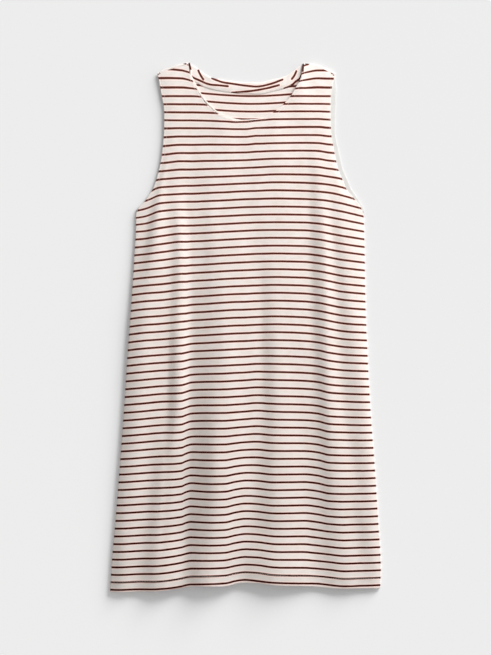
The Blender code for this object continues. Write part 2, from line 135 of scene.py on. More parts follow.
# The neck edges, as in the solids, but for one point of the front's that lies 2 mm further left
FRONT_NECK = [
    Point(-101.4, 473.1), Point(-94.4, 447.0), Point(-80.5, 418.6), Point(-62.1, 396.3),
    Point(-41.0, 380.8), Point(-4.0, 371.3), Point(24.0, 373.4), Point(54.0, 386.5),
    Point(71.5, 401.0), Point(84.6, 416.5), Point(92.0, 431.0), Point(100.6, 449.0),
    Point(103.2, 472.2),
]
BACK_NECK = [
    Point(-101.4, 473.1), Point(-86.2, 463.6), Point(-73.7, 453.5), Point(-61.2, 447.4),
    Point(-41.0, 443.0), Point(0.0, 438.3), Point(22.8, 437.6), Point(45.0, 442.3),
    Point(72.0, 449.2), Point(86.0, 458.5), Point(103.2, 472.2),
]
HEM_LINE = [
    Point(-243.6, -473.1), Point(-170.0, -471.0), Point(-125.0, -466.0), Point(-82.6, -460.4),
    Point(-38.0, -461.6), Point(-10.0, -456.4), Point(20.0, -456.2), Point(60.0, -460.0),
    Point(107.0, -461.8), Point(162.0, -466.3), Point(242.0, -466.5),
]

# How far the front's edge laps over the right armhole strip, at heights.
Lap = namedtuple("Lap", "height reach")
RIGHT_LAPS = [
    Lap(212, 0.6), Lap(300, 0.2), Lap(348, 1.0), Lap(390, -0.8), Lap(418, -1.0), Lap(447, 1.2),
]
# How far the front stops short of the neck edge over the front neck strip, and how far the strip
# itself stands out into the neck.
Band = namedtuple("Band", "x short out")
NECK_BAND = [
    Band(-102, 0.1, 2.3), Band(-98.5, 0.2, 2.2), Band(-97.2, 2.2, 1.0), Band(-95.8, 1.2, -0.3),
    Band(-94.4, 0.3, 0.0), Band(-90, 0.1, 0.8), Band(-87, 0.0, 1.2),
    Band(-76, 1.2, 1.0), Band(-62, 2.0, 0.8), Band(-42, 2.0, 0.2), Band(20, 1.9, 0.0),
    Band(60, 0.5, 0.0), Band(101.2, 0.5, 0.4), Band(101.8, 2.2, 0.3), Band(104, 2.4, 0.2),
]
# Stripes sag this much more at the front's neck edge, and the sag fades with distance from it.
NECK_SAG = 3.2
NECK_SAG_FADE = 4.5
# How much higher than the solids' the front's hem stands, fading out up the dress.
HEM_LIFT_REACH = 105.0
HemLift = namedtuple("HemLift", "x up")
HEM_LIFTS = [
    HemLift(-244, 0), HemLift(-200, 1), HemLift(-151, 2.2), HemLift(-115, 4.2), HemLift(-85, 3.8),
    HemLift(-62, 1.5), HemLift(-38, 0.3), HemLift(-10, 1.5), HemLift(18, 4), HemLift(52, 6.8),
    HemLift(90, 5), HemLift(130, 2), HemLift(178, 2.2), HemLift(242, 0),
]

# Fold lines of the front, from left to right: where each lies across at a named height, and how
# high the middle of the wall stands there. They are as in the solids, but the left shelf stands up
# to 0.6 mm higher here.
LEVELS = {
    "strap": 435, "yoke": 360, "arm": 250, "bust": 140,
    "waist": 0, "hip": -140, "thigh": -290, "hem": -466,
}
Fold = namedtuple("Fold", "name strap yoke arm bust waist hip thigh hem")
FOLD_ACROSS = [
    Fold("left_shelf", -145, -137, -158, -186, -204, -212, -224, -236),
    Fold("left_roll", -136, -130, -150, -165, -184, -195, -213, -222),
    Fold("left_hollow", -126, -118, -141, -135, -140, -143, -172, -198),
    Fold("left_pleat", -115, -106, -127, -119, -121, -121, -145, -151),
    Fold("pleat_foot", -95, -90, -104, -95, -93, -97, -104, -115),
    Fold("main_ridge", -42, -42, -42, -42, -42, -47, -51, -65),
    Fold("centre_hollow", 8, 8, 9, 22, 26, 30, 17, 0),
    Fold("centre_ridge", 70, 60, 61, 54, 55, 55, 55, 49),
    Fold("right_hollow", 98, 104, 112, 112, 114, 116, 119, 130),
    Fold("right_fold", 112, 122, 135, 142, 146, 150, 162, 178),
    Fold("right_dip", 132, 134, 152, 157, 166, 178, 196, 207),
    Fold("right_roll", 148, 146, 166, 180, 193, 207, 216, 225),
]
FOLD_HEIGHT = [
    Fold("left_shelf", 4.1, 4.1, 4.6, 5.5, 7.6, 7.4, 7.0, 6.0),
    Fold("left_roll", 4.3, 4.3, 6.0, 10.5, 10.5, 9.5, 9.0, 8.0),
    Fold("left_hollow", 4.4, 4.4, 5.2, 7.4, 6.5, 5.0, 4.5, 6.0),
    Fold("left_pleat", 4.3, 4.4, 5.4, 8.0, 8.0, 7.5, 7.0, 12.5),
    Fold("pleat_foot", 4.2, 4.2, 4.0, 4.0, 3.8, 4.0, 3.8, 6.5),
    Fold("main_ridge", 4.8, 4.8, 4.8, 7.0, 9.5, 12.5, 16.5, 17.5),
    Fold("centre_hollow", 5.0, 4.4, 4.2, 4.2, 4.2, 5.0, 5.5, 7.5),
    Fold("centre_ridge", 6.0, 5.0, 4.8, 5.5, 7.0, 8.5, 10.5, 9.5),
    Fold("right_hollow", 6.4, 4.4, 4.0, 3.8, 3.6, 3.6, 3.6, 4.5),
    Fold("right_fold", 5.0, 4.8, 6.6, 8.5, 8.8, 9.5, 9.0, 7.5),
    Fold("right_dip", 4.6, 4.8, 5.8, 6.4, 6.0, 5.5, 5.5, 5.5),
    Fold("right_roll", 4.5, 4.6, 5.6, 8.0, 8.5, 7.5, 6.8, 6.0),
]

# Smaller creases on top of the folds: soft ridges (height above 0) and troughs (below 0) along a line from
# its top to its foot, bent sideways by bow at its middle.
Crease = namedtuple("Crease", "top_x top_y foot_x foot_y bow width height")
FRONT_CREASES = [
    Crease(-175, 60, -210, -470, 0, 15, 1.0),
    Crease(-168, 240, -185, 20, 0, 9, -0.9),
    Crease(-135, 220, -150, -440, -5, 9, -1.1),
    Crease(-118, 240, -116, -160, 0, 8, 0.4),
    Crease(-95, 80, -108, -480, 0, 10, -1.2),
    Crease(-50, 120, -50, -90, 0, 8, -0.4),
    Crease(-58, 300, -60, 70, 0, 12, 0.5),
    Crease(30, 120, 28, -220, 0, 9, -0.5),
    Crease(112, 290, 145, -480, 0, 11, -0.8),
    Crease(156, 230, 168, 0, 0, 8, -0.6),
    Crease(190, 160, 210, -240, 0, 14, -0.6),
    Crease(160, -180, 235, -430, 0, 11, 0.8),
    Crease(-165, -240, -185, -480, 0, 10, -0.8),
    Crease(-150, -220, -165, -480, 0, 9, 0.7),
    Crease(60, -280, 85, -480, 0, 20, 0.9),
]
BACK_CREASES = [
    Crease(-120, 180, -150, -60, 6, 9, 0.9),
    Crease(-60, 120, -80, -200, -8, 10, 1.0),
    Crease(20, 200, 30, -120, 7, 9, 0.8),
    Crease(80, 60, 105, -260, -7, 10, 1.1),
    Crease(150, 150, 170, -80, 5, 8, 0.9),
    Crease(-170, -60, -190, -330, -6, 9, 1.0),
    Crease(-20, -180, -36, -430, 6, 10, 1.1),
    Crease(60, -240, 66, -450, -4, 9, 0.8),
    Crease(170, -140, 190, -400, 5, 9, 1.0),
    Crease(-110, -240, -120, -440, 4, 8, 0.7),
    Crease(-90, 330, -110, 220, 4, 8, 0.5),
    Crease(110, 340, 125, 230, -4, 8, 0.5),
]

# Heights of front stripes on the middle line, and how far each stripe hangs below that height at the named
# places across, read off ruled enlargements to the nearest half millimetre.
# Places beyond the cloth's edge carry the nearest reading on.
Stripe = namedtuple("Stripe", "number height")
STRIPES = [
    Stripe(-9, 497), Stripe(-6, 454), Stripe(-5, 440), Stripe(0, 367.5), Stripe(1, 354.5),
    Stripe(9, 243.5), Stripe(10, 229), Stripe(24, 31.5), Stripe(36, -137), Stripe(49, -315),
    Stripe(58, -437.5), Stripe(59, -451), Stripe(62, -491.5),
]
DROP_AT = {
    "left_edge": -233, "left_side": -180, "left_roll": -152, "left_pleat": -114, "pleat_end": -107,
    "pleat_foot": -97, "ridge_start": -72, "main_ridge": -36, "ridge_end": -18, "middle": 0,
    "centre_hollow": 20, "centre_ridge": 52, "right_hollow": 105, "right_fold": 130,
    "fold_end": 150, "right_side": 178, "right_edge": 234,
}
Drop = namedtuple("Drop", "height " + " ".join(DROP_AT))
DROPS = [Drop(*row) for row in (
    (462, -8, -8, -8, -6, -4.5, -3, 0, 0, 0, 0, 0, 0, -1.5, -5.5, -5.5, -5, -5),
    (446, -6, -6, -6, -5.5, -4.5, -2.5, -1, 0, 0, 0, 0, 0, -2.5, -5.5, -5, -5, -5),
    (416, -2.5, -2.5, -2.5, -2.5, -2.5, -2.5, -2, 0, 0, 0, 0, -1, -2.5, -2.5, -2.5, -2.5, -2.5),
    (368, -3, -3, -3, -2.5, -2.5, -2.5, -2, -0.5, 0.5, 0, -2, -4.5, -5, -5, -4, -4, -4),
    (354, -1, -1, -1, -1.5, -1.5, -1.5, -1.5, -0.5, 0, 0, -2, -2.5, -3.5, -3.5, -2, -2, -2),
    (298, 5, 5, 5, 2, 2, 2, 1.5, 1, 0.5, 0, -1, -2.5, -3, -2, 1, 3, 3),
    (236, 20, 17.5, 7.5, 5, 4.5, 4.5, 3.5, 2, 1, 0, -0.5, -1.5, -0.5, 1, 3, 9, 28),
    (215, 28, 17.5, 7.5, 4.5, 4.5, 4.5, 3.5, 2, 1, 0, -0.5, -1, -0.5, 1, 3.5, 9, 24),
    (165, 18, 14.5, 10, 5.5, 5.5, 5, 4, 2, 1, 0, -1, -1.5, -1, 1.5, 5, 10, 18.5),
    (31, 21, 13.5, 11.5, 7.5, 7, 5.5, 4, 1.5, 0.5, 0, -1, -2, -0.5, 2, 6, 11, 15),
    (-137, 17.5, 13, 10.5, 9, 7, 4, 2.5, 2, 1, 0, -1.5, 0, 1.5, 3.5, 8, 10, 11.5),
    (-316, 17.5, 15, 14, 11, 8, 5.5, 6, 5.5, 2, 0, 1, 3.5, 3.5, 6, 9.5, 10.5, 9.5),
    (-437, 19, 17, 15.5, 10.5, 9, 7, 5.5, 5, 2, 0, 0.5, 4, 6, 8, 9.5, 12, 11),
    (-455, 18.5, 17, 15.5, 11.5, 9.5, 7.5, 6, 5.5, 2, 0, 1.5, 4, 6.5, 7.5, 9.5, 11.5, 10.5),
)]
# The back's stripes: one at this height on the middle line, and they arch towards the sides.
BACK_STRIPE = 414.3
BACK_STRIPE_REPEAT = 13.9
BACK_ARCH = {"height": 5.6, "middle": 12.0, "at": 82.0}

# Stripes of the strip inside the back neck, each a line of points; the last is partly a stripe and partly
# painted shadow along the strip's lower edge. The strip is cut along the courses and bent round the neck,
# so that its stripes run out over its edges at the steep ends.
FACING_STRIPES = {
    "outer_left": [Point(-84.1, 460.1), Point(-79.8, 451.1), Point(-75.1, 444.0)],
    "inner_left": [
        Point(-97.4, 450.6), Point(-94.1, 447.8), Point(-81.0, 442.0), Point(-68.7, 436.5),
        Point(-59.8, 434.3), Point(-48.2, 433.5), Point(-31.0, 431.7),
    ],
    "outer_middle": [
        Point(-59.4, 446.0), Point(-51.6, 442.7), Point(-38.0, 438.3), Point(-24.2, 436.4),
        Point(-0.4, 432.9), Point(21.0, 431.1), Point(44.2, 435.6), Point(66.7, 443.6),
    ],
    "inner_right": [
        Point(-23.7, 420.4), Point(8.5, 423.1), Point(35.3, 427.5), Point(60.3, 433.8),
    ],
    "outer_right": [Point(91.4, 458.8), Point(88.0, 450.8), Point(83.5, 444.9)],
    # Along the strip's lower edge: partly a stripe, partly painted shadow of that edge.
    "edge_right": [
        Point(101.8, 453.3), Point(96.9, 445.1), Point(90.3, 440.2), Point(84.0, 434.3),
        Point(77.4, 430.9), Point(70.1, 428.2),
    ],
}
# Short bits of the stripe that the shoulder seams cut through: where each starts and ends across,
# and how far below the seam line it lies.
Bit = namedtuple("Bit", "name start end high low")
SHOULDER_BITS = [
    Bit("left_tip", -156.8, -151.5, -1.0, 2.1), Bit("left_point", -108.6, -103.6, -1.0, 1.7),
    Bit("right_point", 107.0, 114.0, -1.0, 2.6), Bit("right_tip", 152.6, 161.0, 1.2, 4.8),
]

CREAM = (0.79, 0.735, 0.70, 1.0)
CREAM_DEEP = (0.73, 0.665, 0.615, 1.0)
PALE = (0.66, 0.65, 0.63, 1.0)      # the armhole strips
PALE_DEEP = (0.62, 0.605, 0.58, 1.0)
BLUSH = (0.89, 0.74, 0.685, 1.0)    # cream tinted by the stripes' dye beside them
DYED = (0.60, 0.30, 0.24, 1.0)      # the last loops at a stripe's edges
BURGUNDY = (0.028, 0.002, 0.0005, 1.0)
BURGUNDY_PALER = (0.100, 0.030, 0.022, 1.0)
PALER_FROM = (-800.0, -150.0)        # the stripes are deeper by the hem, and paler above
THREAD = (0.74, 0.69, 0.64, 1.0)
FLOOR_TONE = 0.845          # brightness of the lit floor
FLOOR_GLOW = 0.11           # the share of it that shadows do not take away


# ---------------------------------------------------------------- curves and outlines

def ease(t):
    t = np.clip(t, 0.0, 1.0)
    return t * t * (3 - 2 * t)


def smooth_through(knots, values, at, end_slope=1.0):
    """A curve through the knots that never overshoots them (monotone cubic), one row of knots for
    each place; end_slope steepens the first and the last stretch."""
    step = np.diff(knots, axis=1)
    slope = np.diff(values, axis=1) / step
    before, after = slope[:, :-1], slope[:, 1:]
    same_way = before * after > 0
    weight_before = step[:, :-1] + 2 * step[:, 1:]
    weight_after = 2 * step[:, :-1] + step[:, 1:]
    safe_before = np.where(same_way, before, 1.0)
    safe_after = np.where(same_way, after, 1.0)
    mean = (weight_before + weight_after) / (weight_before / safe_before + weight_after / safe_after)
    tangent = np.zeros_like(knots)
    tangent[:, 1:-1] = np.where(same_way, mean, 0.0)
    tangent[:, 0] = slope[:, 0] * end_slope
    tangent[:, -1] = slope[:, -1] * end_slope
    part = np.sum(at[:, None] >= knots[:, 1:-1], axis=1)
    row = np.arange(len(at))
    width = step[row, part]
    t = np.clip((at - knots[row, part]) / width, 0.0, 1.0)
    start, finish = values[row, part], values[row, part + 1]
    rise = (1 + 2 * t) * (1 - t) ** 2 * start + t * t * (3 - 2 * t) * finish
    bend = t * (1 - t) ** 2 * tangent[row, part] - t * t * (1 - t) * tangent[row, part + 1]
    return rise + width * bend


def along(places, values, at):
    """The same curve for one table, read at many places."""
    at = np.asarray(at, dtype=float)
    flat = np.clip(at.ravel(), places[0], places[-1])
    knots = np.broadcast_to(np.asarray(places, dtype=float), (flat.size, len(places)))
    values = np.broadcast_to(np.asarray(values, dtype=float), (flat.size, len(values)))
    return smooth_through(knots, values, flat).reshape(at.shape)


def run_of(line):
    """Length run along a line of points, 0 at its start."""
    return np.concatenate(([0.0], np.cumsum(np.linalg.norm(np.diff(line, axis=0), axis=1))))


def smooth_line(points, steps=8):
    """A smooth line through points: x and y each follow a monotone cubic of the length run."""
    corners = np.array([(point.x, point.y) for point in points], dtype=float)
    lengths = run_of(corners)
    stations = np.arange(len(points))
    at = np.interp(np.linspace(0, len(points) - 1, steps * (len(points) - 1) + 1), stations, lengths)
    return np.stack([along(lengths, corners[:, 0], at), along(lengths, corners[:, 1], at)], axis=1)


def even_line(line, spacing):
    """The line read at even distances of about the given spacing."""
    lengths = run_of(line)
    at = np.linspace(0, lengths[-1], int(round(lengths[-1] / spacing)) + 1)
    return np.stack([np.interp(at, lengths, line[:, axis]) for axis in range(line.shape[1])], axis=1)


def distance_to(line, x, y):
    """Distance of each place from the nearest point of a closely spaced line."""
    return np.min(np.hypot(x[..., None] - line[:, 0], y[..., None] - line[:, 1]), axis=-1)


def unit(vectors):
    return vectors / np.linalg.norm(vectors, axis=-1, keepdims=True)


def offset_line(line, distance):
    """The line moved sideways by a distance, to the right of its direction."""
    direction = unit(np.gradient(line, axis=0))
    sideways = np.stack([direction[:, 1], -direction[:, 0]], axis=1)
    return line + np.broadcast_to(distance, len(line))[:, None] * sideways


def edge_table(sections, side):
    return [Point(getattr(section, side), section.height) for section in sections]


LEFT_ARMHOLE = smooth_line(edge_table(ARMHOLES, "left"))
RIGHT_ARMHOLE = smooth_line(edge_table(ARMHOLES, "right"))
FRONT_SCOOP = smooth_line(FRONT_NECK)
BACK_SCOOP = smooth_line(BACK_NECK)
LEFT_SEAM_TOP = smooth_line(LEFT_SHOULDER)
RIGHT_SEAM_TOP = smooth_line(RIGHT_SHOULDER)


def cut_armhole(armhole, side):
    """The panel's own edge inside the strip: the armhole moved in by the strip and its gap, and
    carried on along its first direction until it meets the side seam."""
    inward = 1 if side == "left" else -1
    cut = offset_line(armhole, inward * (RIM_WIDTH + GAP))
    first = unit(cut[0] - cut[1])
    seam_x = getattr(SIDE_SEAMS[-1], side)
    corner = cut[0] + first * (seam_x - cut[0][0]) / first[0]
    return np.vstack([corner, cut])


CUT = {"left": cut_armhole(LEFT_ARMHOLE, "left"), "right": cut_armhole(RIGHT_ARMHOLE, "right")}


def panel_edge(y, side):
    """Left or right edge of either panel at a height: the side seam, then the cut armhole."""
    cut = CUT[side]
    heights = [section.height for section in SIDE_SEAMS]
    seam = along(heights, [getattr(section, side) for section in SIDE_SEAMS], y)
    return np.where(y < cut[0][1], seam, np.interp(y, cut[:, 1], cut[:, 0]))


def seam_inset(y, side):
    """How far inside the solids' edge the sewn side seam lies: nothing from the underarm up."""
    below = ease((CUT[side][0][1] - y) / 40.0)
    return below * (LEFT_INSET if side == "left" else RIGHT_INSET)


def hem_height(x):
    return along([point.x for point in HEM_LINE], [point.y for point in HEM_LINE], x)


# ---------------------------------------------------------------- the panels' surfaces

def top_edge(neck_line):
    """Top boundary of a panel from shoulder tip to shoulder tip, as fraction across and height."""
    left = LEFT_SEAM_TOP[LEFT_SEAM_TOP[:, 0] > CUT["left"][-1][0]]
    right = RIGHT_SEAM_TOP[RIGHT_SEAM_TOP[:, 0] < CUT["right"][-1][0]]
    x, y = neck_line.T
    below_seam = y < np.interp(x, right[:, 0], right[:, 1]) - 0.4
    neck = neck_line[(x > left[-1][0]) & ((x < right[0][0]) | below_seam)]
    left_shoulder = left[left[:, 0] <= neck[0][0]]
    right_shoulder = right[right[:, 0] >= neck[-1][0]]
    line = np.vstack([left_shoulder, neck, right_shoulder])
    low, high = panel_edge(line[:, 1], "left"), panel_edge(line[:, 1], "right")
    across = (line[:, 0] - low) / (high - low)
    return across, line[:, 1], (across[len(left_shoulder) - 1], across[-len(right_shoulder)])


def columns_across(corners, shoulder_columns, neck_columns):
    """Fractions across a panel: crowded at the sides and at the steep ends of the scoop."""
    side = np.linspace(0, 1, shoulder_columns + 1) ** EDGE_CROWDING
    even = np.linspace(0, 1, neck_columns + 1)
    left, right = corners
    scoop = left + (right - left) * (0.5 * even + 0.25 * (1 - np.cos(np.pi * even)))
    return np.concatenate([left * side[:-1], scoop, 1 - (1 - right) * side[::-1][1:]])


HEM_ROWS = np.array([0, 0.7, 1.8, 4, 7.5, 11, 14.5, 16.5, 17.5, 18.5, 20, 21, 22.5])


def lap_over(y, side):
    """How far the front's edge laps over an armhole strip."""
    if side == "left":
        return LEFT_LAP
    return along([lap.height for lap in RIGHT_LAPS], [lap.reach for lap in RIGHT_LAPS], y)


def panel_grid(neck_line, shoulder_columns, neck_columns, body_rows, arm_rows, yoke_rows,
               hem_lift=0.0, lapped=False):
    """X and Y of a panel's grid, both functions of the fraction across and the row: rows run from
    the hem, level up the body and beside the armholes, then bend to the shoulders and the neck.
    A lapped panel goes past its cut edges over the armhole strips."""
    across, tops, corners = top_edge(neck_line)
    c = columns_across(corners, shoulder_columns, neck_columns)
    hem = hem_height(SIDE_SEAMS[0].left + c * (SIDE_SEAMS[0].right - SIDE_SEAMS[0].left)) + hem_lift
    underarm = CUT["left"][0][1] + c * (CUT["right"][0][1] - CUT["left"][0][1])
    above = hem + HEM_ROWS[-1]
    top = np.interp(c, across, tops)
    body = np.linspace(0, 1, body_rows + 1)[1:]
    arm = np.linspace(0, 1, arm_rows + 1)[1:] ** UNDERARM_CROWDING
    yoke = 1 - np.linspace(1, 0, yoke_rows + 1)[1:] ** YOKE_CROWDING
    y = np.concatenate([
        hem[:, None] + HEM_ROWS,
        above[:, None] + (underarm - above)[:, None] * body,
        underarm[:, None] + (YOKE_LEVEL - underarm)[:, None] * arm,
        YOKE_LEVEL + (top - YOKE_LEVEL)[:, None] * yoke,
    ], axis=1)
    low, high = (panel_edge(y, side) + inward * (TUCK + seam_inset(y, side))
                 for side, inward in (("left", 1), ("right", -1)))
    if lapped:
        low -= (TUCK + lap_over(y, "left")) * ease((y - CUT["left"][0][1]) / 12.0)
        high += (TUCK + lap_over(y, "right")) * ease((y - CUT["right"][0][1]) / 12.0)
    return low + c[:, None] * (high - low), y


def shoulder_drop(x, y):
    """0 away from the shoulder seams and 1 on them, and how far along to the neck point."""
    left, right = LEFT_SEAM_TOP, RIGHT_SEAM_TOP
    seam = np.where(x < left[-1][0] + GAP, np.interp(x, left[:, 0], left[:, 1]),
                    np.where(x > right[0][0] - GAP, np.interp(x, right[:, 0], right[:, 1]), np.inf))
    near = np.clip(1 - (seam - y) / SHOULDER_ROUND, 0.0, 1.0) ** ROUND_SIDE
    along_left = (x - left[0][0]) / (left[-1][0] - left[0][0])
    along_right = (right[-1][0] - x) / (right[-1][0] - right[0][0])
    return near, np.clip(np.where(x < 0, along_left, along_right), 0.0, 1.0)


def below_shoulder(x, y):
    """Distance below the shoulder seam, and far below it away from the shoulders."""
    left, right = LEFT_SEAM_TOP, RIGHT_SEAM_TOP
    return np.where(x < left[-1][0], np.interp(x, left[:, 0], left[:, 1]) - y,
                    np.where(x > right[0][0], np.interp(x, right[:, 0], right[:, 1]) - y, 99.0))


def creases(table, x, y):
    """Sum of soft ridges and troughs: each is height * exp(-(distance / width)^2) from its bent
    line, and fades to nothing at the line's ends as the square root of a sine."""
    total = np.zeros_like(x)
    for crease in table:
        run_x, run_y = crease.foot_x - crease.top_x, crease.foot_y - crease.top_y
        length = np.hypot(run_x, run_y)
        t = ((x - crease.top_x) * run_x + (y - crease.top_y) * run_y) / length ** 2
        inside = np.clip(t, 0.0, 1.0)
        aside = ((x - crease.top_x) * run_y - (y - crease.top_y) * run_x) / length
        distance = aside - crease.bow * 4 * inside * (1 - inside)
        total += crease.height * np.sqrt(np.sin(np.pi * inside)) * np.exp(-(distance / crease.width) ** 2)
    return total


def ripple(x, y):
    """The slack of washed jersey: a few long, shallow waves in several directions."""
    return (0.16 * np.sin(x / 13.0 + 1.7 * np.sin(y / 71.0))
            + 0.12 * np.sin(x / 7.3 + y / 61.0 + 0.8)
            + 0.10 * np.sin(y / 17.0 + x / 29.0)
            + 0.08 * np.sin(y / 9.1 - x / 23.0 + 2.1))


def front_height(x, y):
    """Middle of the front's wall: a curve through the seam, every fold line and the other seam at
    that height, with the small creases, lowered to the seam at the shoulders."""
    shape = x.shape
    x, y = x.ravel(), y.ravel()
    heights = list(LEVELS.values())[::-1]
    low, high = panel_edge(y, "left"), panel_edge(y, "right")
    at_seam = ease((SIDE_SEAMS[-1].height - y) / UNDERARM_BLEND)
    edge = ARMHOLE_HEIGHT + (SIDE_SEAM_HEIGHT - ARMHOLE_HEIGHT) * at_seam
    places = [low]
    stands = [edge + LEFT_CURL * at_seam]
    for across, height in zip(FOLD_ACROSS, FOLD_HEIGHT):
        places.append(along(heights, list(across[1:])[::-1], y))
        stands.append(along(heights, list(height[1:])[::-1], y))
    places.append(high)
    stands.append(edge)
    places = np.stack(places, axis=1)
    room = LEAST_FOLD_WIDTH * np.arange(places.shape[1])
    places = np.clip(places, low[:, None] + room, high[:, None] - room[::-1])
    steep = 1 + (ROUND_SIDE - 1) * at_seam
    z = smooth_through(places, np.stack(stands, axis=1), x, steep)
    inside = ease(np.minimum(x - low, high - x) / 12.0)
    lifts = along([lift.x for lift in HEM_LIFTS], [lift.up for lift in HEM_LIFTS], x)
    lifts = lifts * ease(1 - (y - hem_height(x)) / HEM_LIFT_REACH)
    creased = z + lifts + creases(FRONT_CREASES, x, y) + ripple(x, y) - LOWEST_FRONT
    z += inside * (LOWEST_FRONT + (creased + np.sqrt(creased ** 2 + 0.2)) / 2 - z)
    near, to_neck = shoulder_drop(x, y)
    seam = SHOULDER_TIP_HEIGHT + (NECK_POINT_HEIGHT - SHOULDER_TIP_HEIGHT) * to_neck
    return (z + (seam - z) * near).reshape(shape)


def back_height(x, y):
    """Middle of the back's wall: flat on the ground but for low creases, its edges curled up at the
    side and shoulder seams."""
    inside = np.minimum(x - panel_edge(y, "left"), panel_edge(y, "right") - x)
    below = ease((CUT["left"][0][1] - y) / UNDERARM_BLEND)
    side = np.clip(1 - inside / BACK_RISE_WIDTH, 0.0, 1.0) ** 2 * below
    near, to_neck = shoulder_drop(x, y)
    crease = creases(BACK_CREASES, x, y) * ease(inside / 12.0)
    rise = BACK_RISE * np.maximum(side, near * (1 - to_neck)) + LEFT_CURL * side * (x < 0)
    return BACK_HEIGHT + rise + crease


def hem_doubling(x, y, hem_lift):
    """How much of the turned hem lies behind a point: 1 up to the turn's raw edge, then 0."""
    return ease((HEM_TURN + HEM_STEP - (y - hem_height(x) - hem_lift)) / HEM_STEP)


def stripe_run(x, y):
    """Place across the courses on the front: the middle line's stripe count at the height that the
    cloth there has dropped from, in millimetres of stripe repeat."""
    x, y = np.broadcast_arrays(x, y)
    rows = np.stack([along(list(DROP_AT.values()), drop[1:], x) for drop in DROPS], axis=-1)
    level = np.array([drop.height for drop in DROPS][::-1], dtype=float)
    knots = np.broadcast_to(level, (x.size, len(level)))
    drop = smooth_through(knots, rows.reshape(x.size, -1)[:, ::-1],
                          np.clip(y.ravel(), level[0], level[-1])).reshape(x.shape)
    high_up = ease((y - np.where(x < 0, 380, 418)) / np.where(x < 0, 60, 30))
    near_neck = np.exp(-distance_to(FRONT_SCOOP, x, y) / NECK_SAG_FADE) * high_up
    heights = [stripe.height for stripe in STRIPES][::-1]
    numbers = [stripe.number for stripe in STRIPES][::-1]
    return -STRIPE_REPEAT * np.interp(y + drop + NECK_SAG * near_neck, heights, numbers)


def back_stripe_run(x, y):
    share = np.clip(np.abs(x - BACK_ARCH["middle"]) / BACK_ARCH["at"], 0.0, 2.2)
    drop = -BACK_ARCH["height"] * share ** 2 / (1 + 0.25 * share ** 2)
    return STRIPE_REPEAT * (y + drop - BACK_STRIPE) / BACK_STRIPE_REPEAT


# ---------------------------------------------------------------- meshes

def add_piece(name, points, faces, uv, material, plain=None):
    """A mesh object on the dress from points in millimetres, with the UV map "cloth" given for each
    point, and where it is given the attribute "plain", 1 where the knit has no stripes."""
    mesh = bpy.data.meshes.new(name)
    mesh.from_pydata((points * MM).tolist(), [], faces)
    corner = np.empty(len(mesh.loops), dtype=np.int32)
    mesh.loops.foreach_get("vertex_index", corner)
    layer = mesh.uv_layers.new(name="cloth")
    layer.data.foreach_set("uv", uv[corner].astype(np.float32).ravel())
    if plain is not None:
        mesh.attributes.new("plain", "FLOAT", "POINT").data.foreach_set("value", plain.ravel())
    mesh.update()
    mesh.shade_smooth()
    mesh.materials.append(material)
    piece = bpy.data.objects.new(name, mesh)
    bpy.context.scene.collection.objects.link(piece)
    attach(piece, "root")
    return piece


def grid_normals(points):
    return unit(np.cross(np.gradient(points, axis=0), np.gradient(points, axis=1)))


def grid_faces(index):
    """Four-sided faces between neighbouring points of a grid of numbers, facing upwards where the
    first axis runs to the right and the second away."""
    return np.stack([index[:-1, :-1], index[1:, :-1], index[1:, 1:], index[:-1, 1:]], axis=2).reshape(-1, 4)


def cloth(name, middle, above, below, uv, material, plain=None, rim=(45, 90, 135)):
    """A closed wall round a surface: the surface moved up and down along its normals, and joined
    round its border by a half circle."""
    normal = grid_normals(middle)
    above = np.broadcast_to(above, middle.shape[:2])[:, :, None]
    below = np.broadcast_to(below, middle.shape[:2])[:, :, None]
    columns, rows = middle.shape[:2]
    count = columns * rows
    index = np.arange(count).reshape(columns, rows)
    border = np.concatenate([index[:, 0], index[-1, 1:], index[-2::-1, -1], index[0, -2:0:-1]])
    outer = (middle + normal * above).reshape(-1, 3)
    inner = (middle - normal * below).reshape(-1, 3)
    rim_normal = normal.reshape(-1, 3)[border]
    ahead = np.roll(outer[border], -1, axis=0) - np.roll(outer[border], 1, axis=0)
    outward = unit(np.cross(ahead, rim_normal))
    centre = (outer[border] + inner[border]) / 2
    radius = np.linalg.norm(outer[border] - inner[border], axis=1)[:, None] / 2
    rings = [centre + radius * (np.cos(a) * rim_normal + np.sin(a) * outward) for a in np.radians(rim)]
    first = [2 * count + step * len(border) for step in range(len(rings))]
    loops = [border] + [start + np.arange(len(border)) for start in first]
    loops.append(border + count)
    faces = [grid_faces(index), grid_faces(index)[:, ::-1] + count]
    for here, after in zip(loops[:-1], loops[1:]):
        faces.append(np.stack([here, after, np.roll(after, -1), np.roll(here, -1)], axis=1))
    flat_uv = uv.reshape(-1, 2)
    all_uv = np.concatenate([flat_uv, flat_uv] + [flat_uv[border]] * len(rings))
    if plain is not None:
        plain = plain.ravel()
        plain = np.concatenate([plain, plain] + [plain[border]] * len(rings))
    points = np.concatenate([outer, inner] + rings)
    return add_piece(name, points, np.concatenate(faces).tolist(), all_uv, material, plain)


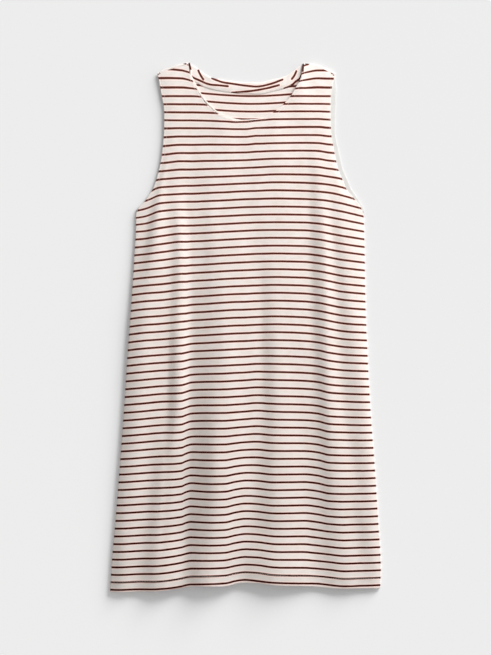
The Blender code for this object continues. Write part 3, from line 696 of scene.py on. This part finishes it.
def tube(path, sideways, width, height, closed, sides=14, squareness=0.8):
    """Points and faces of a soft strip along a path: at each station an oval, its width along the
    level sideways direction and its height square to that and to the path. The oval's cosine and
    sine are raised to squareness, which flattens its top."""
    if closed:
        ahead = np.roll(path, -1, axis=0) - np.roll(path, 1, axis=0)
    else:
        ahead = np.gradient(path, axis=0)
    upward = unit(np.cross(sideways, ahead))
    angle = 2 * np.pi * np.arange(sides) / sides
    wide = np.sign(np.cos(angle)) * np.abs(np.cos(angle)) ** squareness
    high = np.sign(np.sin(angle)) * np.abs(np.sin(angle)) ** squareness
    half_width = np.broadcast_to(width, len(path))[:, None, None] / 2
    half_height = np.broadcast_to(height, len(path))[:, None, None] / 2
    points = (path[:, None, :] + wide[None, :, None] * half_width * sideways[:, None, :]
              + high[None, :, None] * half_height * upward[:, None, :])
    index = np.arange(len(path) * sides).reshape(len(path), sides)
    rings = np.vstack([index, index[:1]]) if closed else index
    around = np.column_stack([rings, rings[:, :1]])
    faces = grid_faces(around).tolist()
    if not closed:
        faces += [index[0].tolist(), index[-1][::-1].tolist()]
    return points, faces


def band_uv(points, path):
    """Place on a band's own knit: length along the path, and distance round the oval."""
    sides = points.shape[1]
    run = run_of(path)
    girth = np.linalg.norm(np.diff(points, axis=1), axis=2).mean(axis=0)
    around = np.concatenate(([0.0], np.cumsum(girth)))
    return np.stack(np.broadcast_arrays(run[:, None], around[None, :sides]), axis=2).reshape(-1, 2)


def flat_sideways(line):
    """Level unit directions to the right of a line."""
    ahead = unit(np.gradient(line[:, :2], axis=0))
    return np.column_stack([ahead[:, 1], -ahead[:, 0], np.zeros(len(line))])


# ---------------------------------------------------------------- materials

class Number:
    """One number in a material. Arithmetic on it adds Math nodes."""

    def __init__(self, finish, socket):
        self.finish = finish
        self.socket = socket

    def math(self, operation, *others):
        inputs = {place: value for place, value in enumerate((self,) + others)}
        return self.finish.node("ShaderNodeMath", {"operation": operation}, inputs)

    def __add__(self, other):
        return self.math("ADD", other)

    __radd__ = __add__

    def __mul__(self, other):
        return self.math("MULTIPLY", other)

    __rmul__ = __mul__

    def __sub__(self, other):
        return self.math("SUBTRACT", other)

    def __rsub__(self, other):
        return self * -1 + other

    def __truediv__(self, other):
        return self.math("DIVIDE", other)

    def __rtruediv__(self, other):
        return self.math("POWER", -1.0) * other

    def __abs__(self):
        return self.math("ABSOLUTE")

    def sine(self):
        return self.math("SINE")

    def fraction(self):
        return self.math("FRACT")


class Finish:
    """A material on a Principled shader. One method adds every node and feeds its sockets."""

    def __init__(self, name, **constants):
        self.material = bpy.data.materials.new(name)
        self.material.use_nodes = True
        self.shader = self.material.node_tree.nodes["Principled BSDF"]
        for socket, value in constants.items():
            self.feed(self.shader.inputs[socket.replace("_", " ")], value)

    def feed(self, socket, value):
        if isinstance(value, Number):
            self.material.node_tree.links.new(value.socket, socket)
        else:
            socket.default_value = value

    def node(self, kind, settings, inputs, output=0):
        made = self.material.node_tree.nodes.new(kind)
        for name, value in settings.items():
            setattr(made, name, value)
        for socket, value in inputs.items():
            self.feed(made.inputs[socket], value)
        return Number(self, made.outputs[output])

    def noise(self, vector, scale, detail=2.0, roughness=0.5):
        return self.node("ShaderNodeTexNoise", {"noise_dimensions": "3D"},
                         {"Vector": vector, "Scale": scale, "Detail": detail, "Roughness": roughness})

    def step(self, value, low, high):
        """0 below low and 1 above high, with a soft run between."""
        return self.node("ShaderNodeMapRange", {"interpolation_type": "SMOOTHSTEP"},
                         {"Value": value, "From Min": low, "From Max": high})

    def mix(self, factor, first, second):
        return self.node("ShaderNodeMix", {"data_type": "RGBA"}, {0: factor, 6: first, 7: second}, 2)

    def grey(self, level):
        return self.node("ShaderNodeCombineColor", {}, {0: level, 1: level, 2: level})

    def bump(self, height, distance, strength):
        inputs = {"Height": height, "Distance": distance, "Strength": strength}
        return self.node("ShaderNodeBump", {}, inputs)


def jersey(across, along_wale):
    """Height of a jersey's face from 0 to 1: each wale is a column of V-shaped stitches, two legs
    that lean together, one rounded loop for each course."""
    in_wale = (across / WALE).fraction() - 0.5
    leg = abs(in_wale)
    loops = ((along_wale / COURSE + leg * 1.6) * (2 * np.pi)).sine() * 0.5 + 0.5
    side = ((leg * 4 - 1) * (np.pi / 2)).sine() * -0.5 + 0.5
    groove = 1 - abs(leg * 4 - 1)
    return loops * 0.45 + groove * 0.4 + side * 0.15


def knit(name, light, deep, striped):
    """Matt cotton jersey: cream, mottled a little as yarn dyed cloth is, its stripes knitted in."""
    finish = Finish(name, Roughness=0.88, Sheen_Weight=0.02, Sheen_Roughness=0.5, Specular_IOR_Level=0.03)
    place = finish.node("ShaderNodeUVMap", {"uv_map": "cloth"}, {})
    split = finish.node("ShaderNodeSeparateXYZ", {}, {0: place})
    across = split
    up = Number(finish, split.socket.node.outputs[1])
    soft = finish.noise(place, 0.05, 3.0, 0.6)
    fine = finish.noise(place, 0.7, 2.0, 0.6)
    slub = finish.noise(finish.node("ShaderNodeMapping", {}, {"Vector": place, "Scale": (0.12, 1.3, 1)}),
                        1.0, 2.0, 0.6)
    mottle = soft * 0.5 + fine * 0.25 + slub * 0.25
    face = finish.mix(finish.step(mottle, 0.38, 0.62), deep, light)
    if striped:
        ragged = (fine - 0.5) * 0.5 + (soft - 0.5) * 0.5
        distance = abs(((up + ragged) / STRIPE_REPEAT + 0.5).fraction() - 0.5) * STRIPE_REPEAT
        plain = finish.node("ShaderNodeAttribute", {"attribute_name": "plain"}, {}, 2)
        shown = 1 - finish.step(plain, 0.35, 0.65)
        mask = (1 - finish.step(distance, STRIPE_WIDTH / 2 - 0.25, STRIPE_WIDTH / 2 + 0.25)) * shown
        blush = (1 - finish.step(distance, STRIPE_WIDTH / 2 + 0.6, STRIPE_WIDTH / 2 + BLUSH_WIDTH)) * shown
        dyed = (1 - finish.step(distance, STRIPE_WIDTH / 2, STRIPE_WIDTH / 2 + DYED_WIDTH)) * shown
        face = finish.mix(dyed, finish.mix(blush, face, BLUSH), DYED)
        # The stripes turn paler here and there at random, and paler up the dress than by the hem.
        paler = finish.step(fine * 0.6 + slub * 0.4, 0.4, 0.65) * 0.3 + finish.step(up, *PALER_FROM) * 0.7
        yarn = finish.mix(paler, BURGUNDY, BURGUNDY_PALER)
        face = finish.mix(mask, face, yarn)
    finish.feed(finish.shader.inputs["Base Color"], face)
    height = jersey(across + (soft - 0.5) * 1.2, up) + fine * 0.35
    finish.feed(finish.shader.inputs["Normal"], finish.bump(height, 0.00012, 0.5))
    finish.feed(finish.shader.inputs["Roughness"], 0.84 + fine * 0.1)
    return finish.material


def thread_finish():
    finish = Finish("sewing_thread", Base_Color=THREAD, Roughness=0.6, Sheen_Weight=0.2)
    place = finish.node("ShaderNodeUVMap", {"uv_map": "cloth"}, {})
    split = finish.node("ShaderNodeSeparateXYZ", {}, {0: place})
    around = Number(finish, split.socket.node.outputs[1])
    twist = ((split * 9.0 + around * 3.0)).sine() * 0.5 + 0.5
    finish.feed(finish.shader.inputs["Base Color"], finish.mix(twist, (0.66, 0.61, 0.55, 1.0), THREAD))
    finish.feed(finish.shader.inputs["Normal"], finish.bump(twist, 0.00006, 0.5))
    return finish.material


STRIPED_KNIT = knit("striped_jersey", CREAM, CREAM_DEEP, striped=True)
PLAIN_KNIT = knit("plain_jersey", PALE, PALE_DEEP, striped=False)
SEWING_THREAD = thread_finish()


# ---------------------------------------------------------------- the pieces of cloth

def surface_uv(middle, v):
    """U is the length run across the cloth from its middle column, so that the wales keep their
    width on slopes."""
    run = np.linalg.norm(np.diff(middle, axis=0), axis=2)
    u = np.concatenate([np.zeros((1, middle.shape[1])), np.cumsum(run, axis=0)])
    return np.stack([u - u[len(u) // 2], v], axis=2)


def on_stripe(run, here):
    """The place across the courses, moved to the nearest stripe where here is true."""
    return np.where(here, STRIPE_REPEAT * np.round(run / STRIPE_REPEAT), run)


def neck_band(x, column):
    return along([band.x for band in NECK_BAND], [getattr(band, column) for band in NECK_BAND], x)


def front_cloth():
    """The front panel, its folds and creases, with the doubled hem and plain knit by the shoulder
    seams."""
    band = neck_band(FRONT_SCOOP[:, 0], "short")
    x, y = panel_grid(offset_line(FRONT_SCOOP, band), 17, 108, 168, 34, 30, lapped=True)
    doubled = hem_doubling(x, y, 0.0)
    middle = np.stack([x, y, front_height(x, y)], axis=2)
    above = WALL / 2 + HEM_SWELL * doubled
    below = CLOTH - WALL / 2 + (HEM_WALL - WALL) * doubled
    below_seam = below_shoulder(x, y)
    on_bit = shoulder_bits(x, y) == 0
    plain = np.where(on_bit, 0.0, np.clip(1.5 - below_seam / 2.6, 0.0, 1.0))
    uv = surface_uv(middle, on_stripe(stripe_run(x, y), on_bit))
    piece = cloth("front_cloth", middle, above, below, uv, STRIPED_KNIT, plain)
    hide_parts("front")
    return piece


def back_cloth():
    """The back panel, flat on the ground, with low creases of its own."""
    x, y = panel_grid(offset_line(BACK_SCOOP, TUCK), 12, 70, 110, 22, 16, BACK_HEM_LIFT)
    doubled = hem_doubling(x, y, BACK_HEM_LIFT)
    middle = np.stack([x, y, back_height(x, y)], axis=2)
    above = WALL / 2 + (HEM_WALL - WALL) * doubled
    uv = surface_uv(middle, back_stripe_run(x, y))
    piece = cloth("back_cloth", middle, above, WALL / 2, uv, STRIPED_KNIT)
    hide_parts("back")
    return piece


def neck_facing():
    """The strip inside the back neck: across its width it lies flat on the back, and at the neck
    edge it turns down round the back's edge in a quarter circle. Its stripes follow the edge."""
    line = even_line(BACK_SCOOP, 1.6)
    top = 2 * BACK_HEIGHT + 0.45 + CLOTH / 2
    turn = 0.9
    angle = np.radians([90, 60, 30, 0])
    inward = np.concatenate([turn - turn * np.sin(angle), np.linspace(turn, FACING_WIDTH, 27)[1:]])
    drop = np.concatenate([turn * (1 - np.cos(angle)), np.linspace(0, 1, 26) ** 4 * 0.55])
    grid = np.stack([offset_line(line, distance) for distance in inward], axis=1)[:, ::-1]
    x, y = grid[:, :, 0], grid[:, :, 1]
    wave = 0.12 * np.sin(x / 9.0) + 0.10 * np.sin(x / 5.1 + 1.0)
    flat = ease((inward[::-1] - 2) / 6) * ease((FACING_WIDTH - inward[::-1]) / 6)
    z = top - drop[::-1][None, :] + wave * flat[None, :]
    middle = np.stack([x, y, z], axis=2)
    nearest = np.full_like(x, STRIPE_REPEAT / 2)
    for stripe in FACING_STRIPES.values():
        nearest = np.minimum(nearest, distance_to(even_line(smooth_line(stripe), 0.4), x, y))
    uv = surface_uv(middle, nearest)
    thin = CLOTH * (0.5 - 0.28 * ease((inward[::-1] - 12) / 8))
    piece = cloth("neck_facing", middle, thin, thin, uv, STRIPED_KNIT)
    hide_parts("neck_strip_back")
    return piece


def neck_edge():
    """The strip along the front neck, under the front's own edge and rolled out past it: cream on the left,
    and knitted like the front on the right, where a stripe runs up it to the shoulder. Near the shoulders
    on both sides it is coloured as that stripe, which is partly painted shadow of the gap under the front's
    neck edge."""
    out = neck_band(FRONT_SCOOP[:, 0], "out")
    line = even_line(offset_line(FRONT_SCOOP, RIM_WIDTH / 2 - out), 2.0)
    under = front_height(line[:, 0], line[:, 1]) - (CLOTH - WALL / 2) - RIM_HEIGHT / 2
    path = np.column_stack([line, under])
    width = RIM_WIDTH + RIM_UNDER
    points, faces = tube(path, flat_sideways(line), width, RIM_HEIGHT, closed=False, squareness=0.4)
    x, y = points[:, :, 0], points[:, :, 1]
    # Near the shoulders the strip takes the stripe's colour: partly a stripe, partly painted shadow of the
    # gap under the front's neck edge.
    stripe_and_shadow = y > np.where(x > 0, 457.5, 460.0)
    run = on_stripe(stripe_run(x, np.minimum(y, 459.0)), stripe_and_shadow)
    uv = np.stack([run_of(path)[:, None] + 0 * x, run], axis=2).reshape(-1, 2)
    plain = ease((30.0 - x) / 10.0) * ~stripe_and_shadow
    piece = add_piece("neck_edge", points.reshape(-1, 3), faces, uv, STRIPED_KNIT, plain)
    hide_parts("neck_strip_front")
    return piece


def armhole_line(side):
    """The panels' armhole edge, and the width of the strip beside it: rolled up on the left, and on
    the right spread out between its ends."""
    cut = CUT[side]
    line = even_line(cut, 2.0)
    run = run_of(line)
    spread = ease(run / SPREAD_FROM_UNDERARM) * ease((run[-1] - run) / SPREAD_FROM_TIP)
    if side == "left":
        spread = spread * 0
    return line, RIM_WIDTH + (SPREAD_WIDTH - RIM_WIDTH) * spread


def armhole_edge(side):
    """The strip round an armhole: up the front edge, over the shoulder tip in a half circle, down
    the back edge and round the underarm."""
    outward = -1 if side == "left" else 1
    edge, width = armhole_line(side)
    ends = slice(2, -2)
    upper = offset_line(edge, outward * (GAP + width - STRIP_UNDER) / 2)[ends]
    lower = offset_line(edge, outward * (GAP + width) / 2)[ends]
    edge, width = edge[ends], width[ends] + GAP
    high = front_height(edge[:, 0], edge[:, 1]) - (CLOTH - WALL / 2) - STRIP_HEIGHT / 2 - 0.1
    low = np.full(len(edge), STRIP_HEIGHT / 2 + RIM_LIFT)
    turn = np.radians([22, 45, 68, 90, 112, 135, 158])[:, None]

    def half_turn(end, beyond):
        """From the upper run's end down to the lower run's, round beyond it."""
        radius = (high[end] - low[end]) / 2
        fallen = (1 - np.cos(turn)) / 2
        ahead = unit(upper[end] - upper[beyond])
        flat = upper[end] + (lower[end] - upper[end]) * fallen + radius * np.sin(turn) * ahead
        around = np.column_stack([flat, high[end] - 2 * radius * fallen])
        return around, width[end] + STRIP_UNDER * (1 - fallen[:, 0])

    over, over_width = half_turn(-1, -2)
    under, under_width = half_turn(0, 1)
    top_run = np.column_stack([upper, high])
    bottom_run = np.column_stack([lower, low])[::-1]
    path = np.vstack([top_run, over, bottom_run, under[::-1]])
    sideways = flat_sideways(edge)
    ones = np.ones((len(turn), 1))
    level = np.vstack([sideways, ones * sideways[-1], sideways[::-1], ones * sideways[0]])
    widths = np.concatenate([width + STRIP_UNDER, over_width, width[::-1], under_width[::-1]])
    points, faces = tube(path, level, widths, STRIP_HEIGHT, closed=True, sides=24, squareness=0.2)
    uv = band_uv(points, path)
    name = "armhole_edge_" + side
    piece = add_piece(name, points.reshape(-1, 3), faces, uv, PLAIN_KNIT)
    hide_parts("armhole_strip_" + side)
    return piece


def seam_roll(name, line, low, high, width, run_at, squareness=0.8):
    """The sewn edge where front and back meet: an oval along the seam, from the outside of the back
    to the outside of the front. run_at gives the place across the courses at x and y."""
    centre = (low + high) / 2
    path = np.column_stack([line, np.broadcast_to(centre, len(line))])
    points, faces = tube(path, flat_sideways(line), width, high - low, False, 12, squareness)
    x, y = points[:, :, 0], points[:, :, 1]
    uv = np.stack([x, run_at(x, y)], axis=2).reshape(-1, 2)
    return add_piece(name, points.reshape(-1, 3), faces, uv, STRIPED_KNIT)


def side_seam(side):
    inward = 1 if side == "left" else -1
    low_y = hem_height(np.array(getattr(SIDE_SEAMS[0], side))) + 1.0
    y = np.linspace(low_y, CUT[side][0][1] - 1.0, 260)
    line = np.column_stack([panel_edge(y, side) + inward * (seam_inset(y, side) + 1.0), y])
    curl = LEFT_CURL * ease((SIDE_SEAMS[-1].height - y) / UNDERARM_BLEND) if side == "left" else 0.0
    flatness = 0.8 if side == "left" else 0.4
    return seam_roll("side_seam_" + side, line, 0.25 + 0.8 * curl, 3.1 + curl, 2.2, stripe_run, flatness)


def shoulder_bits(x, y):
    """0 on the bits of a stripe along the shoulder seams, and far from a stripe elsewhere."""
    below = below_shoulder(x, y)
    on_bit = [
        (x > bit.start) & (x < bit.end) & (below > bit.high) & (below < bit.low)
        for bit in SHOULDER_BITS
    ]
    return np.where(np.any(on_bit, axis=0), 0.0, STRIPE_REPEAT / 2)


def shoulder_seam(side):
    seam = LEFT_SEAM_TOP if side == "left" else RIGHT_SEAM_TOP
    line = offset_line(even_line(seam, 1.2), 1.2)[1:-1]
    _, to_neck = shoulder_drop(line[:, 0], line[:, 1])
    high = SHOULDER_TIP_HEIGHT + (NECK_POINT_HEIGHT - SHOULDER_TIP_HEIGHT) * to_neck + 0.9
    low = np.full(len(line), 0.25)
    return seam_roll("shoulder_seam_" + side, line, low, high, 2.8, shoulder_bits)


# ---------------------------------------------------------------- sewing

def stitch_row(lines, pitch, length, radius):
    """Points, faces and UVs of running stitches along lines of points on the cloth: each stitch is
    a spindle, thickest at its middle, arched up so that its ends sink into the knit."""
    sides = 5
    station = np.array([-1.0, -0.6, 0.0, 0.6, 1.0])
    thick = np.array([0.25, 0.85, 1.0, 0.85, 0.25])
    angle = 2 * np.pi * np.arange(sides) / sides
    all_points, all_uv = [], []
    for line in lines:
        spaced = even_line(line, pitch)
        ahead = unit(np.gradient(spaced, axis=0))
        level = unit(np.cross(ahead, [0, 0, 1]))
        upward = np.cross(level, ahead)
        centre = (spaced[:, None, :] + ahead[:, None, :] * (station * length / 2)[None, :, None]
                  + upward[:, None, :] * (radius * (0.7 - 1.3 * station ** 2))[None, :, None])
        ring = (np.cos(angle)[None, :, None] * level[:, None, :]
                + np.sin(angle)[None, :, None] * upward[:, None, :])
        points = centre[:, :, None, :] + ring[:, None, :, :] * (radius * thick)[None, :, None, None]
        u = np.broadcast_to((station * length / 2)[None, :, None], points.shape[:3])
        v = np.broadcast_to((angle * radius)[None, None, :], points.shape[:3])
        all_points.append(points.reshape(-1, 3))
        all_uv.append(np.stack([u, v], axis=3).reshape(-1, 2))
    points = np.concatenate(all_points)
    stitches = len(points) // (5 * sides)
    index = np.arange(5 * sides).reshape(5, sides)
    around = np.column_stack([index, index[:, :1]])
    quads = grid_faces(around)[:, ::-1]
    starts = (np.arange(stitches) * 5 * sides)[:, None, None]
    faces = (quads[None] + starts).reshape(-1, 4).tolist()
    faces += (index[0][None] + starts[:, 0]).tolist()
    faces += (index[-1][::-1][None] + starts[:, 0]).tolist()
    return points, faces, np.concatenate(all_uv)


def stitches(name, lines, pitch=3.0, length=2.4, radius=0.24):
    points, faces, uv = stitch_row(lines, pitch, length, radius)
    return add_piece(name, points, faces, uv, SEWING_THREAD)


def on_front(line, lift=0.0):
    """A line laid on the front's outer face."""
    x, y = line[:, 0], line[:, 1]
    swell = HEM_SWELL * hem_doubling(x, y, 0.0)
    return np.column_stack([line, front_height(x, y) + WALL / 2 + swell + lift])


# Sewing: how far stitches lie from an edge, in millimetres, and the size of one fine stitch.
HEM_STITCH_ROWS = (14.5, 17.5)
NECK_STITCH_IN = 1.6
ARMHOLE_STITCH_IN = 1.8
FACING_STITCH_IN = 2.0
FACING_STITCHED_TO = 84         # the facing is stitched down this far to each side
UNDER_STITCH_HEIGHT = 0.14      # the back's hem stitches, between the cloth and the floor
FineStitch = namedtuple("FineStitch", "pitch length radius")
FINE_STITCH = FineStitch(2.6, 2.0, 0.2)


def hem_stitch_lines(hem_lift):
    """The two rows of stitches that hold the turned hem."""
    lines = []
    for up in HEM_STITCH_ROWS:
        x = np.linspace(SIDE_SEAMS[0].left + 4, SIDE_SEAMS[0].right - 4, 400)
        lines.append(np.column_stack([x, hem_height(x) + hem_lift + up]))
    return lines


def sewing():
    made = [stitches("hem_stitches_front", [on_front(line) for line in hem_stitch_lines(0.0)])]
    under = [
        np.column_stack([line, np.full(len(line), UNDER_STITCH_HEIGHT)])
        for line in hem_stitch_lines(BACK_HEM_LIFT)
    ]
    made.append(stitches("hem_stitches_back", under))
    neck = offset_line(FRONT_SCOOP, RIM_WIDTH + GAP + NECK_STITCH_IN)[6:-6]
    made.append(stitches("neck_stitches", [on_front(neck)], *FINE_STITCH))
    for side, inward in (("left", 1), ("right", -1)):
        line = offset_line(even_line(CUT[side], 2.0), inward * ARMHOLE_STITCH_IN)[6:-6]
        made.append(stitches("armhole_stitches_" + side, [on_front(line)], *FINE_STITCH))
    line = offset_line(even_line(BACK_SCOOP, 2.5), FACING_WIDTH - FACING_STITCH_IN)
    line = line[(np.abs(line[:, 0]) < FACING_STITCHED_TO)]
    facing_top = 2 * BACK_HEIGHT + GAP + WALL / 2 + CLOTH / 2
    on_facing = np.column_stack([line, np.full(len(line), facing_top)])
    made.append(stitches("facing_stitches", [on_facing], *FINE_STITCH))
    return made


front = front_cloth()
back = back_cloth()
facing = neck_facing()
edges = [neck_edge(), armhole_edge("left"), armhole_edge("right")]
seams = [make(side) for make in (side_seam, shoulder_seam) for side in ("left", "right")]
thread = sewing()

edges + seams + thread[:1] + thread[2:5]


# ---------------------------------------------------------------- floor, light and camera

# Soft square lights: azimuth is counted from +X towards +Y, in degrees, distances are in metres.
Light = namedtuple("Light", "name azimuth elevation distance size power")
LIGHTS = [
    Light("key", 54, 22, 2.95, 1.55, 151),
    Light("side", 12, 13, 2.6, 0.9, 18),
]
SKY = 0.345                 # strength of the even light from all round
FLOOR_WHITEST = 0.93


def light_place(light):
    a, e = np.radians(light.azimuth), np.radians(light.elevation)
    return light.distance * np.array([np.cos(a) * np.cos(e), np.sin(a) * np.cos(e), np.sin(e)])


def light_quarters(light):
    """The points that stand for the four quarters of a square lamp."""
    at = light_place(light)
    side = unit(np.cross([0, 0, 1], at))
    rise = np.cross(at / light.distance, side)
    reach = light.size / (2 * np.sqrt(3))
    return [at + reach * (i * side + j * rise) for i in (-1, 1) for j in (-1, 1)]


def floor():
    """A plain pale floor that looks evenly lit: its tone is divided by the light that reaches it,
    SKY + watts / pi ** 2 * height * facing / distance ** 4 for each quarter of a lamp (its square
    law, with its slant to the floor and to the lamp's face). What the whitest tone lacks is a faint
    glow."""
    half = 4.0
    mesh = bpy.data.meshes.new("floor")
    mesh.from_pydata([(-half, -half, -0.0002), (half, -half, -0.0002), (half, half, -0.0002),
                      (-half, half, -0.0002)], [], [(0, 1, 2, 3)])
    finish = Finish("pale_floor", Roughness=0.9, Specular_IOR_Level=0.0, Emission_Strength=1.0)
    place = finish.node("ShaderNodeTexCoord", {}, {}, 3)
    light = SKY
    for lamp in LIGHTS:
        facing = finish.node("ShaderNodeVectorMath", {"operation": "DOT_PRODUCT"},
                             {0: place, 1: tuple(-light_place(lamp) / lamp.distance)}, 1) + lamp.distance
        facing = facing.math("MAXIMUM", 0.0)
        reached = 0.0
        for at in light_quarters(lamp):
            ends = {0: place, 1: tuple(at)}
            away = finish.node("ShaderNodeVectorMath", {"operation": "DISTANCE"}, ends, 1)
            reached = 1 / (away * away * away * away) * (at[2] * lamp.power / 4 / np.pi ** 2) + reached
        light = facing * reached + light
    tone = ((FLOOR_TONE - FLOOR_GLOW) / light).math("MINIMUM", FLOOR_WHITEST)
    glow = (FLOOR_TONE - light * FLOOR_WHITEST).math("MAXIMUM", FLOOR_GLOW)
    finish.feed(finish.shader.inputs["Base Color"], finish.grey(tone))
    finish.feed(finish.shader.inputs["Emission Color"], finish.grey(glow))
    mesh.materials.append(finish.material)
    item = bpy.data.objects.new("floor", mesh)
    bpy.context.scene.collection.objects.link(item)


def aimed(item, place, target=(0.0, 0.0, 0.0)):
    """Puts an object at a place and turns its -Z towards the target."""
    item.location = place
    item.rotation_mode = "QUATERNION"
    item.rotation_quaternion = (Vector(target) - Vector(place)).to_track_quat("-Z", "Y")
    bpy.context.scene.collection.objects.link(item)
    return item


def area_light(light):
    data = bpy.data.lights.new(light.name, "AREA")
    data.size = light.size
    data.energy = light.power
    aimed(bpy.data.objects.new(light.name, data), tuple(light_place(light)))


def studio():
    bpy.context.scene.view_settings.view_transform = "Standard"
    world = bpy.data.worlds.new("studio")
    world.use_nodes = True
    world.node_tree.nodes["Background"].inputs["Color"].default_value = (1.0, 1.0, 1.0, 1.0)
    world.node_tree.nodes["Background"].inputs["Strength"].default_value = SKY
    bpy.context.scene.world = world
    for light in LIGHTS:
        area_light(light)


PHOTO_MM = 1.787            # millimetres of the dress to one pixel of the photograph
PHOTO_SIZE = (491, 655)
PHOTO_ORIGIN = (245.25, 327.25)     # the pixel that the dress's origin is at
LENS, SENSOR = 70.0, 36.0
DRESS_LEVEL = 0.008


def camera():
    data = bpy.data.cameras.new("camera")
    data.lens = LENS
    data.sensor_width = SENSOR
    item = bpy.data.objects.new("camera", data)
    distance = PHOTO_SIZE[1] * PHOTO_MM * MM * LENS / SENSOR
    x = (PHOTO_SIZE[0] / 2 - PHOTO_ORIGIN[0]) * PHOTO_MM * MM
    y = (PHOTO_ORIGIN[1] - PHOTO_SIZE[1] / 2) * PHOTO_MM * MM
    item.location = (x, y, DRESS_LEVEL + distance)
    bpy.context.scene.collection.objects.link(item)
    bpy.context.scene.camera = item


floor()
studio()
camera()
